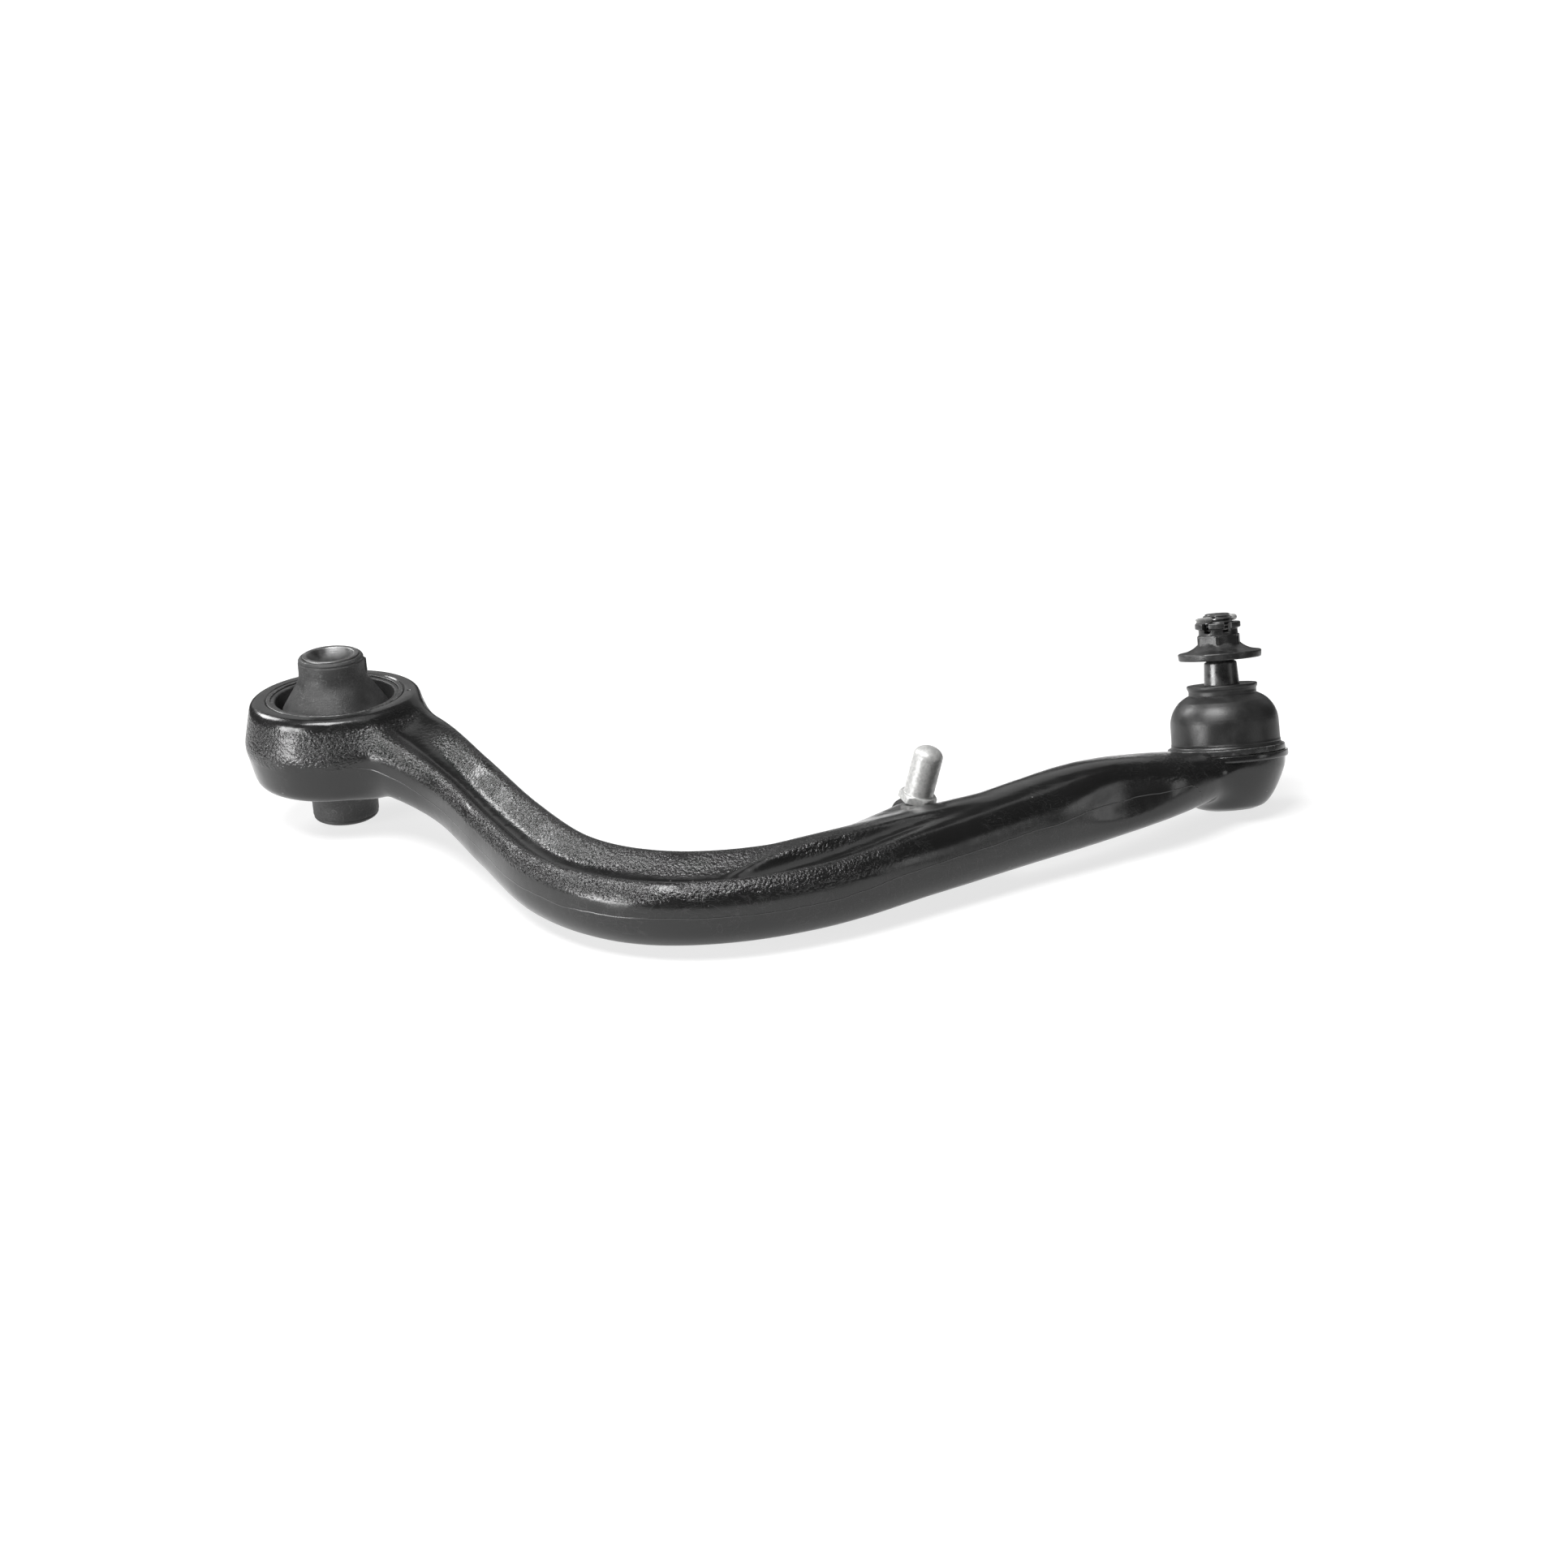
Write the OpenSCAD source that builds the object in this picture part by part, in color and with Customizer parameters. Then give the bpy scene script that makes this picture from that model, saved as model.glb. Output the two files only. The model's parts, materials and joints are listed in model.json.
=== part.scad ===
// Forged suspension control arm with a rubber bush, a sealed ball joint and a bracket pin.
// The origin is the centre of the bush. +Z runs up along the bush bolt, and +X towards the ball joint.
// All sizes are in millimetres.

/* [Arm] */
// Straight distance from the bush axis to the ball centre
arm_length = 375; // [320:1:460]
// Distance that the centre line bows out from that straight line
bend_depth = 142; // [110:1:175]
// Greatest width of the bar, seen from above
bar_width = 42; // [36:1:50]
// Greatest height of the bar
bar_height = 34; // [30:1:40]
// Depth of the trough along the top of the bar
trough_depth = 9; // [0:0.5:11]
// Depth of the trough along the underside of the bar
under_trough_depth = 5; // [0:0.5:6]

/* [Bush ring] */
// Wall between the bush and the ring's top and bottom edges
ring_wall = 7.5; // [5:0.25:10]
// Distance that the ring's parting line stands out past those edges
ring_swell = 3; // [1:0.25:5]
// Height of the ring
ring_height = 37; // [30:0.5:46]
// Radius of the ring's rounded edges
ring_edge_r = 3.5; // [1:0.25:3.5]
// Width of the chamfer at each end of the ring's bore
ring_bore_chamfer = 0.8; // [0.3:0.1:1.2]

/* [Bush] */
// Distance between the inner sleeve's two clamp faces
sleeve_length = 73; // [60:1:88]
// Outer diameter of the inner sleeve
sleeve_d = 24; // [20:0.5:28]
// Diameter of the hole for the bush bolt
bolt_hole_d = 14.5; // [10:0.5:15]
// Width of the flat clamp face around the dished mouth of that hole
clamp_face = 2; // [1:0.25:2.5]
// Depth of the dished mouth
bolt_mouth_depth = 5; // [2:0.5:8]
// Outer diameter of the steel shell pressed into the ring
shell_d = 58; // [54:0.5:70]
// Wall of the steel shell
shell_wall = 1.8; // [1.5:0.1:2.5]
// Wall of the straight rubber end over each end of the sleeve
rubber_end_wall = 2; // [1:0.25:2.5]
// Length of that straight rubber end
rubber_end_length = 10; // [4:0.5:12]
// Thickness of the rubber lining where it is thinnest
lining_wall = 2.9; // [2.4:0.1:3.5]
// Half the height of the rubber lining that bears on the core
lining_half_height = 8.5; // [7:0.5:9]
// Thickness of the rubber skin inside the shell's ends
lining_skin = 2; // [1:0.1:2.4]
// Distance that the rubber stops short of the steel at each end
rubber_setback = 0.6; // [0.2:0.1:1]

/* [Ball joint housing] */
// Distance of the ball centre below the bush centre
ball_drop = 18; // [12:0.5:24]
// Lean of the ball joint away from vertical, towards +Y
stud_lean = 15; // [0:1:20]
// Bearing of that lean, turned from +Y back towards the bush
stud_bearing = 13; // [0:1:20]
// Wall of the housing around the seats
housing_wall = 10; // [7:0.25:11]
// Diameter of the housing's flat bottom
housing_floor_d = 19; // [15:0.5:23]
// Thickness of the metal under the lower seat
housing_floor = 4; // [2:0.1:5]
// Distance that the rim flange stands out past the housing
rim_overhang = 1.5; // [1:0.25:4]
// Height of the rim flange's top face above the ball centre
rim_top = 5.9; // [5.7:0.1:7]
// Thickness of the rim flange
rim_thickness = 2.9; // [2.4:0.1:4]

/* [Ball joint] */
// Diameter of the ball
ball_d = 24; // [20:0.5:29]
// Wall of the plastic seats around the ball
seat_wall = 1.7; // [1.4:0.1:2.1]
// Height of the upper seat's mouth above the ball centre
seat_mouth = 5.2; // [4.3:0.1:5.5]
// Width of the ledge that the closing ring lies on
closing_ring_ledge = 4.5; // [3.5:0.25:5.5]
// Thickness of the closing ring
closing_ring_thickness = 2.2; // [1.8:0.1:2.6]
// Diameter of the stud's neck above the ball
neck_d = 12; // [10:0.5:12.5]
// Diameter of the stud's thread
thread_d = 12; // [10:0.5:14.5]
// Difference between the thread and the thin end of the stud's tapered seat
taper_step = 1.4; // [1:0.1:2]
// Length of axis for each millimetre that the taper loses in diameter
taper_ratio = 8; // [6:1:10]

/* [Dust boot] */
// Height of the boot over the housing's rim
boot_height = 28.2; // [26:0.2:34]
// Wall of the boot
boot_wall = 1.8; // [1.4:0.1:2.2]
// Distance that the steel foot ring stays inside the housing's rim
foot_ring_inset = 1; // [0.5:0.1:1.5]
// Height of the foot ring
foot_ring_height = 2.7; // [2.2:0.1:3.3]
// Distance that the foot ring stands out past the boot
foot_ring_step = 2; // [1.6:0.1:2.4]
// Distance that the boot's flared lip reaches out past the line of the thread
boot_lip_width = 8.5; // [7.5:0.25:10]

/* [Castle nut] */
// Thickness of the hub carrier that the nut clamps, from the boot's lip to the nut
carrier_thickness = 10.5; // [8:0.5:14]
// Width of the hexagon across its flats
nut_flats = 17; // [16.5:0.5:21]
// Distance that the nut's flange stands out past the flats
nut_flange_overhang = 8.7; // [6:0.1:10]
// Thickness of the flange's rim
nut_flange_rim = 2.9; // [2.4:0.1:3.5]
// Height of the cone between rim and hexagon
nut_cone = 2.6; // [2:0.1:3.2]
// Height of the hexagon
nut_hex = 4.6; // [3.8:0.1:5.6]
// Height of the round neck above the hexagon
nut_neck = 2.3; // [1.9:0.1:2.8]
// Height of the crown's rim above the neck
nut_crown = 2.6; // [2.1:0.1:3.2]
// Width of each of the crown's six slots
nut_slot = 3.4; // [2.8:0.1:4]

/* [Cotter pin] */
// Diameter of the closed pin
cotter_d = 2.6; // [2.1:0.1:3.1]
// Length of the pin's shank
cotter_length = 24; // [20:1:29]

/* [Bracket pin] */
// Diameter of the bare pin
pin_d = 12; // [10:0.5:14.5]
// Length of the bare pin above its collar
pin_length = 20.5; // [15:0.5:30]
// Difference between the hexagonal collar's flats and the pin
collar_step = 2; // [1.5:0.25:3]
// Thickness of the collar
pin_collar = 3; // [2:0.5:5]
// Lean of the pin towards the ball joint
pin_lean = 16; // [0:1:20]
// Length of the pin's shank inside the boss
pin_shank = 14; // [10:0.5:17]
// Difference between the pin and its shank
shank_step = 2; // [1:0.25:3]
// Wall of the boss around the shank
boss_wall = 3.75; // [3:0.25:6]
// Distance of the boss's face below the bush centre
boss_drop = 9.7; // [8:0.5:14]

/* [Hidden] */
// Running clearance, on radius, of what turns inside rubber or plastic
running_gap = 0.05;
// Gap between the rubber core and the lining that it tilts in
tilt_gap = 0.3;
// Clearance, on radius, of the boot's lip around the stud's taper
lip_gap = 0.1;
// Clearance, on radius, of the pin in the stud's cross hole
cross_hole_gap = 0.2;
// Small overlap that lets a cut run past a face
past = 1;
// Facets of the round surfaces
round_fn = 96;
// Facets of the rounded shapes that are blended
blend_fn = 24;

// Rows along the bar's centre line, from the bush to the ball joint:
// [share of arm_length, share of bend_depth, height over the bush centre,
//  share of bar_width, share of bar_height, lean of the section in degrees, share of the trough's depth]
bar_rows = [
    [0.000, 0.000,   0.0, 1.10, 0.96,  0, 0.0],
    [0.085, 0.120,  -2.0, 1.02, 0.98,  0, 0.5],
    [0.165, 0.310,  -9.0, 0.76, 0.89,  0, 0.9],
    [0.240, 0.580, -15.0, 0.76, 0.90,  0, 1.0],
    [0.315, 0.835, -18.5, 0.88, 0.96,  0, 1.0],
    [0.400, 0.980, -19.0, 0.99, 1.01,  0, 1.0],
    [0.490, 1.000, -18.5, 1.00, 1.00,  0, 1.0],
    [0.590, 0.900, -18.0, 0.90, 0.97,  0, 0.7],
    [0.685, 0.720, -17.5, 0.78, 0.91,  6, 0.2],
    [0.775, 0.525, -15.5, 0.79, 0.93,  8, 0.0],
    [0.850, 0.370, -13.5, 0.86, 0.92, 12, 0.0],
    [0.910, 0.230, -14.5, 1.00, 0.78, 12, 0.0],
    [0.955, 0.085, -18.0, 1.00, 0.62, 10, 0.0],
    [0.985, 0.000, -20.0, 0.78, 0.50, 10, 0.0]
];
// Rings worked out between each two rows, and points around each ring
rings_per_row = 4;
ring_points = 28;
// Roundness of the section: 2 is an ellipse, and more is squarer
section_power = 2.7;
// Sideways place of the trough's floor, as a share of half the width, + towards the outside
trough_place = 0.22;
// Spread of the trough to its inner and outer side, as a share of half the width
trough_inner_spread = 1.0;
trough_outer_spread = 0.55;
// Share by which the bar's outer rib stays lower than its inner rib
outer_rib_fall = 0.09;

// Sizes of the ring and of the bush's rubber
ring_edge_d = shell_d + 2 * ring_wall;
ring_d = ring_edge_d + 2 * ring_swell;
parting_land = 2;
shell_inner_d = shell_d - 2 * shell_wall;
shell_edge = 0.5;
lining_half = ring_height / 2 - rubber_setback;
lining_ball_d = shell_inner_d - 2 * lining_wall;
// Distance that the lining's ledge reaches in past the ball shape before that is cut, and its edge
ledge_reach = 3;
ledge_edge = 1;
core_ball_d = lining_ball_d - 2 * tilt_gap;
core_half = sleeve_length / 2 - rubber_setback;
core_cone_top = sleeve_length / 2 - rubber_end_length;
rubber_end_d = sleeve_d + 2 * rubber_end_wall;
// Distance that the core's shoulder stays inside the line of its ball, and depth of the groove below it
shoulder_inset = 1.7;
shoulder_groove = 0.5;
// Heights of the shoulder's edges over the lining's ledge
core_ball_end = lining_half_height + 3.3;
core_shoulder_low = core_ball_end + 1.5;
core_shoulder_high = core_shoulder_low + 0.7;
end_chamfer = 0.8;
bolt_mouth_d = sleeve_d - 2 * clamp_face;
sleeve_edge = 0.3;

// Sizes of the ball joint, stacked up along the stud from the ball centre
ball_centre = [arm_length, 0, -ball_drop];
ball_r = ball_d / 2;
seat_r = ball_r + running_gap + seat_wall;
housing_bottom = -(seat_r + housing_floor);
housing_d = 2 * (seat_r + housing_wall);
rim_d = housing_d + 2 * rim_overhang;
rim_edge = 0.5;
// Height over which the housing widens from its flat bottom, and how quickly
housing_round = 17.7;
housing_power = 0.46;
closing_ring_d = 2 * (seat_r + closing_ring_ledge);
closing_ring_bottom = rim_top - closing_ring_thickness;
closing_ring_hole_d = 2 * seat_r - 1.6;
closing_ring_chamfer = 0.6;
boot_foot = rim_top;
boot_lip_top = rim_top + boot_height;
boot_lip_low = boot_lip_top - 5.5;
taper_start = boot_lip_low - 4.6;
neck_top = taper_start - 3;
nut_seat = boot_lip_top + carrier_thickness;
taper_end = nut_seat - 1.5;
taper_end_d = thread_d + taper_step;
nut_top = nut_seat + nut_flange_rim + nut_cone + nut_hex + nut_neck + nut_crown;
cotter_height = nut_top + cotter_d / 2 + 0.1;
stud_tip = cotter_height + cotter_d / 2 + 1.2;
thread_chamfer = 1.2;
thread_runout = 0.8;

// Sizes of the boot
foot_ring_d = rim_d - 2 * foot_ring_inset;
foot_ring_wall = 1.4;
foot_ring_edge = 0.4;
boot_d = foot_ring_d - 2 * foot_ring_step;
boot_lip_d = thread_d + 2 * boot_lip_width;
boot_shoulder_r = 13;
boot_straight = 12;
boot_foot_width = 5;
lip_ring_d = boot_lip_d - 5;
lip_ring_wire = 2;
lip_ring_drop = 2.8;

// Sizes of the nut and the cotter pin
nut_flange_d = nut_flats + 2 * nut_flange_overhang;
nut_corners = nut_flats / cos(30);
nut_edge = 0.5;
nut_neck_inset = 0.3;
nut_crown_inset = 0.4;
nut_bore_chamfer = 1;
nut_turn = 15;
cotter_turn = nut_turn + 30;
cotter_wire = cotter_d / 2;
cotter_eye_d = 6;
cotter_eye_place = thread_d / 2 + cotter_eye_d / 2 + 0.3;

// Place of the bracket pin along and out from the straight line, as shares like those of the rows
pin_along = 0.672;
pin_out = 0.42;
pin_base = [pin_along * arm_length, -pin_out * bend_depth, -boss_drop];
pin_shank_d = pin_d - shank_step;
pin_collar_flats = pin_d + collar_step;
pin_dome = 2.5;
boss_d = pin_shank_d + 2 * boss_wall;
boss_height = pin_shank + 3;
// The web from the boss runs into the bar round two balls: [place in rows, shift towards the boss, diameter]
web_balls = [[6.7, 4, 24], [8.6, 2, 25]];

// Radius of the stud's taper at a height above the ball centre
function taper_r(height) = (taper_end_d + (taper_end - height) / taper_ratio) / 2;

// Value between a and b
function mix(a, b, share) = a + (b - a) * share;

// Power that keeps the sign
function signed_power(value, power) = sign(value) * pow(abs(value), power);

// Smooth bump: 1 in the middle, 0 from 1 outwards
function bump(x) = abs(x) < 1 ? pow(1 - x * x, 2) : 0;

// A row of the list, carried on in a straight line past either end
function bar_row(i) =
    let (last = len(bar_rows) - 1)
    i < 0 ? 2 * bar_rows[0] - bar_rows[1] :
    i > last ? 2 * bar_rows[last] - bar_rows[last - 1] : bar_rows[i];

// Catmull-Rom curve through the rows, at place t counted in rows
function bar_at(t) =
    let (last = len(bar_rows) - 1, i = min(floor(t), last - 1), f = t - i,
         a = bar_row(i - 1), b = bar_row(i), c = bar_row(i + 1), d = bar_row(i + 2))
    0.5 * (2 * b + (c - a) * f + (2 * a - 5 * b + 4 * c - d) * f * f + (3 * b - 3 * c + d - a) * f * f * f);

// Centre of the bar at place t
function bar_centre(t) =
    let (row = bar_at(t))
    [row[0] * arm_length, -row[1] * bend_depth, row[2]];

// Closed ring of points around the bar at place t: a rounded box with a trough above and below
function bar_ring(t) =
    let (row = bar_at(t), step = 0.05,
         along = bar_centre(t + step) - bar_centre(t - step),
         forward = along / norm(along),
         flat_side = cross(forward, [0, 0, 1]),
         level_side = flat_side / norm(flat_side),
         level_up = cross(level_side, forward),
         side = level_side * cos(row[5]) + level_up * sin(row[5]),
         up = level_up * cos(row[5]) - level_side * sin(row[5]))
    [for (k = [0:ring_points - 1])
        let (turn = 360 * k / ring_points,
             across = signed_power(cos(turn), 2 / section_power),
             rise = signed_power(sin(turn), 2 / section_power),
             spread = across < trough_place ? trough_inner_spread : trough_outer_spread,
             dip = row[6] * bump((across - trough_place) / spread) * abs(rise),
             fall = rise > 0 ? trough_depth : -under_trough_depth,
             lower = max(across, 0) * outer_rib_fall * row[6])
        bar_centre(t) + side * across * row[3] * bar_width / 2
            + up * (rise * (1 - lower) * row[4] * bar_height / 2 - dip * fall)];

// One skin over a list of closed rings, with a flat face at each end
module skin(rings) {
    count = len(rings[0]);
    points = [for (ring = rings) each ring];
    walls = [for (i = [0:len(rings) - 2], k = [0:count - 1])
        let (next = (k + 1) % count)
        each [[i * count + k, i * count + next, (i + 1) * count + next],
              [i * count + k, (i + 1) * count + next, (i + 1) * count + k]]];
    first = [for (k = [count - 1:-1:0]) k];
    last = [for (k = [0:count - 1]) (len(rings) - 1) * count + k];
    polyhedron(points, concat([first], walls, [last]), convexity = 6);
}

// Places its children in the ball joint's own frame, with Z along the stud
module in_ball_frame() {
    translate(ball_centre) rotate([-stud_lean, 0, stud_bearing]) children();
}

// Places its children in the bracket pin's own frame, with Z along the pin
module in_pin_frame() {
    translate(pin_base) rotate([0, pin_lean, 0]) children();
}

// Solid of revolution from a list of [radius, height] points
module turned(profile) {
    rotate_extrude($fn = round_fn) polygon(profile);
}

// Quarter round of points about [x, y], from angle a to b
function corner(x, y, r, a, b, steps = 4) =
    [for (i = [0:steps]) [x + r * cos(mix(a, b, i / steps)), y + r * sin(mix(a, b, i / steps))]];

module ring_body() {
    half = ring_height / 2;
    edge = ring_edge_d / 2;
    turned(concat(
        [[0, -half]],
        corner(edge - ring_edge_r, -half + ring_edge_r, ring_edge_r, -90, -10),
        [[ring_d / 2, -parting_land / 2], [ring_d / 2, parting_land / 2]],
        corner(edge - ring_edge_r, half - ring_edge_r, ring_edge_r, 10, 90),
        [[0, half]]));
}

module bar_body() {
    skin([for (i = [0:(len(bar_rows) - 1) * rings_per_row]) bar_ring(i / rings_per_row)]);
}

// Cup of the ball joint: a flat bottom, sides that widen quickly and then slowly, and a rim flange
module housing_body() {
    rim_low = rim_top - rim_thickness;
    steps = 5;
    sides = [for (i = [0:steps])
        [mix(housing_floor_d, housing_d, pow(i / steps, housing_power)) / 2,
         housing_bottom + housing_round * i / steps]];
    turned(concat(
        [[0, housing_bottom]], sides,
        [[rim_d / 2 - rim_edge, rim_low], [rim_d / 2, rim_low + rim_edge],
         [rim_d / 2, rim_top - rim_edge], [rim_d / 2 - rim_edge, rim_top], [0, rim_top]]));
}

// Web between the bar and the boss that carries the pin
module boss_body() {
    hull() {
        in_pin_frame() translate([0, 0, -boss_height]) cylinder(d = boss_d, h = boss_height, $fn = blend_fn);
        for (ball = web_balls)
            translate(bar_centre(ball[0]) + [0, ball[1], -1]) sphere(d = ball[2], $fn = blend_fn);
    }
}

module arm_forging() {
    color([0.07, 0.07, 0.07])
    difference() {
        union() {
            ring_body();
            bar_body();
            boss_body();
            in_ball_frame() housing_body();
        }
        cylinder(d = shell_d, h = 3 * ring_height, center = true, $fn = round_fn);
        for (end = [-1, 1])
            translate([0, 0, end * (ring_height / 2 + past / 2 - ring_bore_chamfer / 2)])
                cylinder(d1 = shell_d + (1 - end) * ring_bore_chamfer,
                         d2 = shell_d + (1 + end) * ring_bore_chamfer,
                         h = past + ring_bore_chamfer, center = true, $fn = round_fn);
        in_ball_frame() socket_space();
        in_ball_frame() translate([0, 0, rim_top])
            cylinder(r1 = rim_d / 2 + past, r2 = rim_d, h = rim_d / 2, $fn = round_fn);
        in_pin_frame() translate([0, 0, -pin_shank]) cylinder(d = pin_shank_d, h = 2 * pin_shank, $fn = round_fn);
        in_pin_frame() cylinder(d = 1.4 * boss_d, h = pin_length, $fn = round_fn);
    }
}

// Room in the housing for the seats and the closing ring
module socket_space() {
    sphere(r = seat_r, $fn = round_fn);
    cylinder(r = seat_r, h = rim_top + past, $fn = round_fn);
    translate([0, 0, closing_ring_bottom])
        cylinder(d = closing_ring_d, h = closing_ring_thickness + past, $fn = round_fn);
}

module bush_shell() {
    half = ring_height / 2;
    color([0.09, 0.09, 0.09]) turned([
        [shell_inner_d / 2, -half], [shell_d / 2 - shell_edge, -half], [shell_d / 2, -half + shell_edge],
        [shell_d / 2, half - shell_edge], [shell_d / 2 - shell_edge, half], [shell_inner_d / 2, half]]);
}

// Rubber bonded inside the shell. Its middle is hollowed to the ball shape of the core
module bush_lining() {
    skin_r = shell_inner_d / 2 - lining_skin;
    ledge_r = lining_ball_d / 2 - ledge_reach;
    low = lining_half_height;
    color([0.05, 0.05, 0.05]) difference() {
        turned([
            [shell_inner_d / 2, -lining_half], [shell_inner_d / 2, lining_half], [skin_r, lining_half],
            [skin_r, low + ledge_edge], [skin_r - ledge_edge, low], [ledge_r, low],
            [ledge_r, -low], [skin_r - ledge_edge, -low], [skin_r, -low - ledge_edge], [skin_r, -lining_half]]);
        sphere(d = lining_ball_d, $fn = round_fn);
    }
}

// Rubber bonded around the sleeve: a ball-shaped middle, with a cone and a straight end on each side
module bush_rubber_core() {
    end_r = rubber_end_d / 2;
    shoulder_r = core_ball_d / 2 - shoulder_inset;
    waist_r = sqrt(pow(core_ball_d / 2, 2) - pow(core_ball_end, 2)) - shoulder_groove;
    upper = [
        [waist_r, core_ball_end], [shoulder_r, core_shoulder_low], [shoulder_r, core_shoulder_high],
        [end_r, core_cone_top], [end_r, core_half - end_chamfer], [end_r - end_chamfer, core_half], [0, core_half]];
    lower = [for (i = [len(upper) - 1:-1:0]) [upper[i][0], -upper[i][1]]];
    color([0.06, 0.06, 0.06]) difference() {
        union() {
            sphere(d = core_ball_d, $fn = round_fn);
            turned(concat(lower, upper));
        }
        cylinder(r = sleeve_d / 2 + running_gap, h = 2 * sleeve_length, center = true, $fn = round_fn);
    }
}

module bush_inner_sleeve() {
    half = sleeve_length / 2;
    color([0.45, 0.45, 0.45]) turned([
        [bolt_hole_d / 2, -half + bolt_mouth_depth], [bolt_mouth_d / 2, -half],
        [sleeve_d / 2 - sleeve_edge, -half], [sleeve_d / 2, -half + sleeve_edge],
        [sleeve_d / 2, half - sleeve_edge], [sleeve_d / 2 - sleeve_edge, half],
        [bolt_mouth_d / 2, half], [bolt_hole_d / 2, half - bolt_mouth_depth]]);
}

// Plastic cup under the ball
module lower_ball_seat() {
    color([0.85, 0.85, 0.8]) in_ball_frame() difference() {
        sphere(r = seat_r, $fn = round_fn);
        sphere(r = ball_r + running_gap, $fn = round_fn);
        cylinder(r = 2 * seat_r, h = 2 * seat_r, $fn = round_fn);
    }
}

// Plastic ring above the ball. Its mouth is narrower than the ball and leaves room for the neck to swing
module upper_ball_seat() {
    color([0.85, 0.85, 0.8]) in_ball_frame() difference() {
        union() {
            cylinder(r = seat_r, h = closing_ring_bottom, $fn = round_fn);
            cylinder(d = closing_ring_hole_d, h = seat_mouth, $fn = round_fn);
        }
        sphere(r = ball_r + running_gap, $fn = round_fn);
    }
}

module closing_ring() {
    hole_r = closing_ring_hole_d / 2;
    color([0.5, 0.5, 0.5]) in_ball_frame() turned([
        [hole_r, closing_ring_bottom], [closing_ring_d / 2, closing_ring_bottom], [closing_ring_d / 2, rim_top],
        [hole_r + closing_ring_chamfer, rim_top], [hole_r, rim_top - closing_ring_chamfer]]);
}

module ball_stud() {
    color([0.16, 0.16, 0.16]) in_ball_frame() difference() {
        union() {
            sphere(d = ball_d, $fn = round_fn);
            turned([
                [0, 0], [neck_d / 2, 0], [neck_d / 2, neck_top], [taper_r(taper_start), taper_start],
                [taper_end_d / 2, taper_end], [thread_d / 2, taper_end + thread_runout],
                [thread_d / 2, stud_tip - thread_chamfer], [thread_d / 2 - thread_chamfer, stud_tip],
                [0, stud_tip]]);
        }
        translate([0, 0, cotter_height]) rotate([0, 90, cotter_turn])
            cylinder(r = cotter_d / 2 + cross_hole_gap, h = 2 * thread_d, center = true, $fn = round_fn);
    }
}

// Dome of rubber with a thick foot under the foot ring and a flared lip around the stud's taper
module dust_boot() {
    foot_r = foot_ring_d / 2 - foot_ring_wall;
    foot_top = boot_foot + foot_ring_height;
    wide_r = boot_d / 2;
    round_x = wide_r - boot_shoulder_r;
    round_y = boot_foot + boot_straight;
    lip_r = boot_lip_d / 2;
    outside = concat(
        [[foot_r - boot_foot_width, boot_foot], [foot_r, boot_foot], [foot_r, foot_top + 0.6],
         [wide_r, foot_top + 1.6], [wide_r, round_y]],
        corner(round_x, round_y, boot_shoulder_r, 15, 60),
        [[lip_r - 1.5, boot_lip_top - 3], [lip_r, boot_lip_top - 1], [lip_r, boot_lip_top]]);
    inside = concat(
        [[taper_r(boot_lip_top) + lip_gap, boot_lip_top], [taper_r(boot_lip_low) + lip_gap, boot_lip_low],
         [lip_r - 3, boot_lip_low]],
        corner(round_x, round_y, boot_shoulder_r - boot_wall, 60, 0),
        [[wide_r - boot_wall, foot_top + 1], [foot_r - boot_foot_width, boot_foot + 1.5]]);
    color([0.08, 0.08, 0.08]) in_ball_frame() difference() {
        turned(concat(outside, inside));
        lip_ring_shape(lip_gap);
    }
}

// Wire ring moulded into the boot's lip
module lip_ring_shape(gap) {
    translate([0, 0, boot_lip_top - lip_ring_drop]) rotate_extrude($fn = round_fn)
        translate([lip_ring_d / 2, 0]) circle(d = lip_ring_wire + 2 * gap, $fn = blend_fn);
}

module boot_foot_ring() {
    r = foot_ring_d / 2;
    top = boot_foot + foot_ring_height;
    color([0.1, 0.1, 0.1]) in_ball_frame() turned([
        [r - foot_ring_wall, boot_foot], [r, boot_foot], [r, top - foot_ring_edge],
        [r - foot_ring_edge, top], [r - foot_ring_wall, top]]);
}

module boot_lip_ring() {
    color([0.6, 0.6, 0.6]) in_ball_frame() lip_ring_shape(0);
}

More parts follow.
